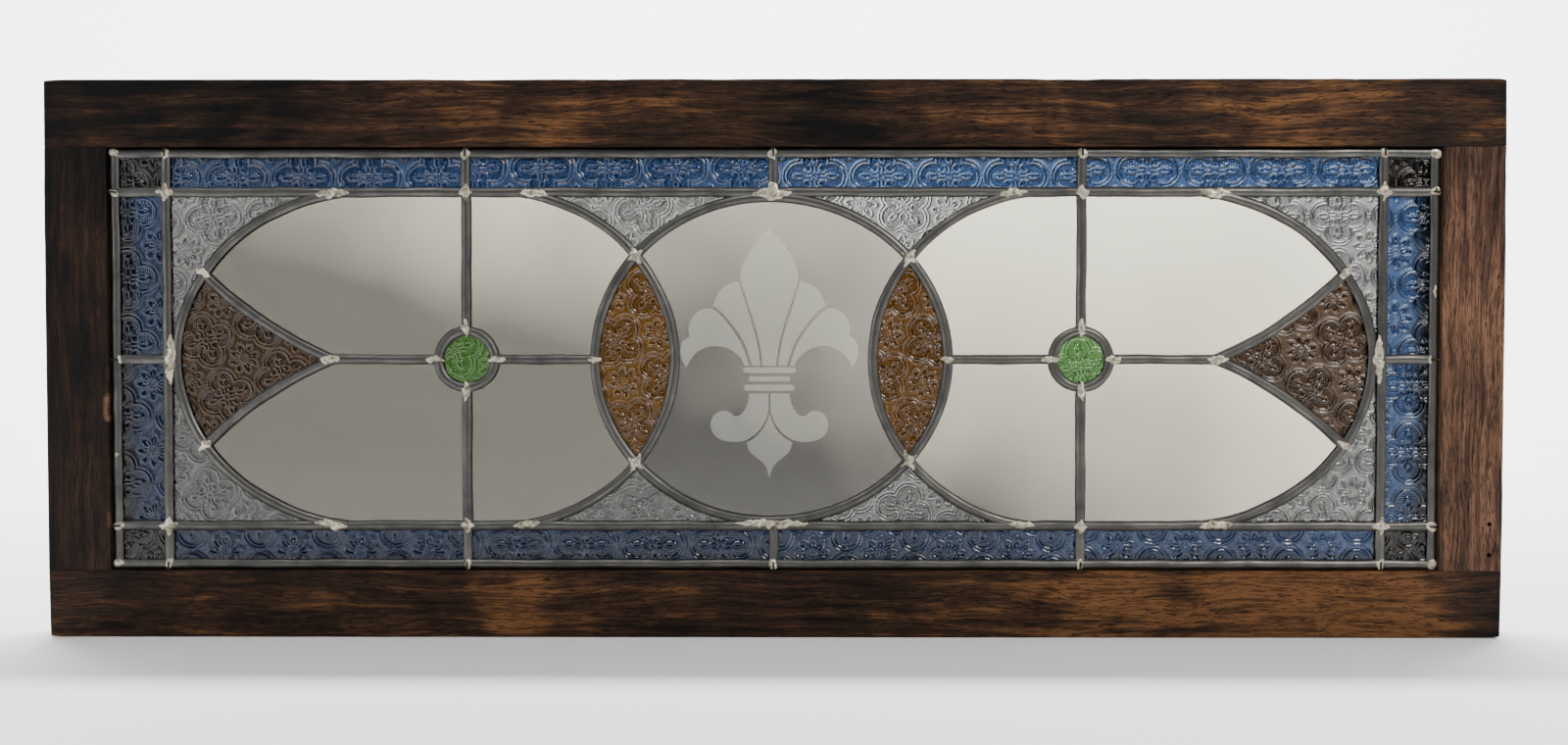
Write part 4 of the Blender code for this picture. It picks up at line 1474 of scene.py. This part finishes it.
def nail_hole_cutter(name, holes, material):
    """The plugs of wood that old nails have taken out."""
    nails = bmesh.new()
    narrow, wide = NAIL_HOLE_RADII
    for x, z in holes:
        place = Matrix.Translation((x, FRONT_Y, MID_Z + z)) @ Matrix.Rotation(pi / 2, 4, "X")
        bmesh.ops.create_cone(nails, cap_ends=True, segments=18, radius1=narrow, radius2=wide,
                              depth=NAIL_HOLE_DEPTH, matrix=place)
    return add_object(name, nails, material, smooth=False)


def worn_timber(node, material, along, chips=(), holes=()):
    """A copy of a piece of the frame with worn outer edges, splintered chips and nail holes.

    Chips are (height, half length, depth), on the front edge at the opening.
    """
    low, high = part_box(node)
    shape = merged_copy(node)
    places = list(np.arange(low[along] + EDGE_STEP / 2, high[along], EDGE_STEP))
    for middle, half, depth in chips:
        places += list(np.arange(middle - half, middle + half, CHIP_STEP))
    cut_across(shape, along, places)
    inner = copysign(OPENING_X, low.x)
    outward = copysign(1.0, low.x)
    if chips:
        cut_across(shape, 0, [inner + outward * reach for reach in CHIP_CUTS_X])
        cut_across(shape, 1, CHIP_CUTS_Y)
    wear_edges(shape)
    splinter(shape, inner, outward, chips)
    shape.normal_update()
    timber_piece = add_object(node + "_worn", shape, material, smooth=False)
    if not holes:
        return timber_piece
    cutter = nail_hole_cutter(node + "_nails", holes, material)
    mesh = cut_with(cutter, timber_piece, "DIFFERENCE")
    return add_mesh(node + "_worn", mesh, material, smooth=False)


def dress(node, material):
    """Give a carried-over node its finish."""
    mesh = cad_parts[node].data
    mesh.materials.clear()
    mesh.materials.append(material)


# Putting the window together

came_net = build_came_net()
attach(came_net, "root")
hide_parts("lead_cames")

for solder in (build_solder("solder_joints_front", -1, 3), build_solder("solder_joints_back", 1, 8)):
    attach(solder, "root")

for pane, node, slot in build_pressed_glass():
    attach(pane, "root")
    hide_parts(node)

etched_pane = build_etched_pane()
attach(etched_pane, "root")
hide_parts("fleur_de_lis_pane")

pin_rng = random.Random(5)
for node in sorted(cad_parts):
    if node.startswith("pin_"):
        pin = build_pin(node, pin_rng)
        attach(pin, "root")
        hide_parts(node)

for node in sorted(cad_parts):
    if node.startswith("clear_pane"):
        dress(node, CLEAR)

nail_holes = [window_point(x, y) for x, y in PHOTO_NAILS]
for node, pieces in (
        ("frame_top_rail", (TOP_TIMBER, 0)), ("frame_bottom_rail", (BOTTOM_TIMBER, 0)),
        ("frame_left_stile", (LEFT_TIMBER, 2, SPLINTERS)),
        ("frame_right_stile", (RIGHT_TIMBER_AND_SHEEN, 2, (), nail_holes))):
    timber_piece = worn_timber(node, *pieces)
    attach(timber_piece, "root")
    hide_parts(node)


# The studio


def build_studio():
    """A pale floor and wall, darkening from half a metre before the window to behind the camera."""
    made, tree, shader = new_material("pale_studio")
    x, y, z = object_places(tree)
    pale = ramp(tree, y / STUDIO_LENGTH + STUDIO_MIDDLE, STUDIO_TONES)
    feed(tree, shader.inputs["Base Color"], pale)
    shader.inputs["Roughness"].default_value = 0.9
    shape = bmesh.new()
    profile = [Vector((0.0, 0.0, 0.0)), Vector((FLOOR_RADIUS, 0.0, 0.0))]
    for step in range(1, CURVE_STEPS + 1):
        turn = pi / 2 * step / CURVE_STEPS
        profile.append(Vector((FLOOR_RADIUS + CURVE_RADIUS * sin(turn), 0.0,
                               CURVE_RADIUS * (1 - cos(turn)))))
    profile.append(Vector((FLOOR_RADIUS + CURVE_RADIUS, 0.0, WALL_HEIGHT)))
    verts = [shape.verts.new(point) for point in profile]
    edges = [shape.edges.new(pair) for pair in zip(verts, verts[1:])]
    bmesh.ops.spin(shape, geom=verts + edges, cent=(0.0, 0.0, 0.0), axis=(0.0, 0.0, 1.0),
                   angle=2 * pi, steps=48, use_merge=True)
    bmesh.ops.remove_doubles(shape, verts=shape.verts, dist=1e-5)
    floor = add_object("studio_floor", shape, made)


def add_softbox(name, place, target, size, power, colour=(1.0, 1.0, 1.0)):
    light = bpy.data.lights.new(name, "AREA")
    light.shape = "RECTANGLE"
    light.size, light.size_y = size
    light.energy = power
    light.color = colour
    obj = bpy.data.objects.new(name, light)
    bpy.context.scene.collection.objects.link(obj)
    obj.location = place
    obj.rotation_euler = (Vector(target) - Vector(place)).to_track_quat("-Z", "Y").to_euler()


def build_lights():
    world = bpy.data.worlds.new("soft_surround")
    world.use_nodes = True
    world.node_tree.nodes["Background"].inputs["Color"].default_value = (1.0, 1.0, 1.0, 1.0)
    world.node_tree.nodes["Background"].inputs["Strength"].default_value = SURROUND_LIGHT
    bpy.context.scene.world = world
    middle = (0.0, 0.0, 0.17)
    add_softbox("key_light", (0.85, -1.1, 1.05), middle, (0.55, 0.35), 17.0, (1.0, 0.97, 0.92))
    add_softbox("top_light", (-0.35, -0.75, 1.35), middle, (1.0, 0.16), 8.5)
    add_softbox("left_light", (-1.25, -1.0, 0.45), middle, (0.3, 0.8), 5.0, (0.93, 0.96, 1.0))
    add_softbox("wall_light", (0.0, 0.7, 2.3), (0.0, 2.6, 0.6), (2.4, 0.6), 400.0)


def build_camera():
    camera = bpy.data.cameras.new("photo_camera")
    camera.sensor_width = 36.0
    camera.lens = CAMERA_LENS
    camera.clip_start = 0.01
    obj = bpy.data.objects.new("photo_camera", camera)
    bpy.context.scene.collection.objects.link(obj)
    target = Vector(CAMERA_TARGET)
    obj.location = target + CAMERA_DISTANCE * Vector((sin(CAMERA_SWING), -cos(CAMERA_TILT),
                                                      sin(CAMERA_TILT)))
    obj.rotation_euler = (target - obj.location).to_track_quat("-Z", "Y").to_euler()
    bpy.context.scene.camera = obj


build_studio()
build_lights()
build_camera()
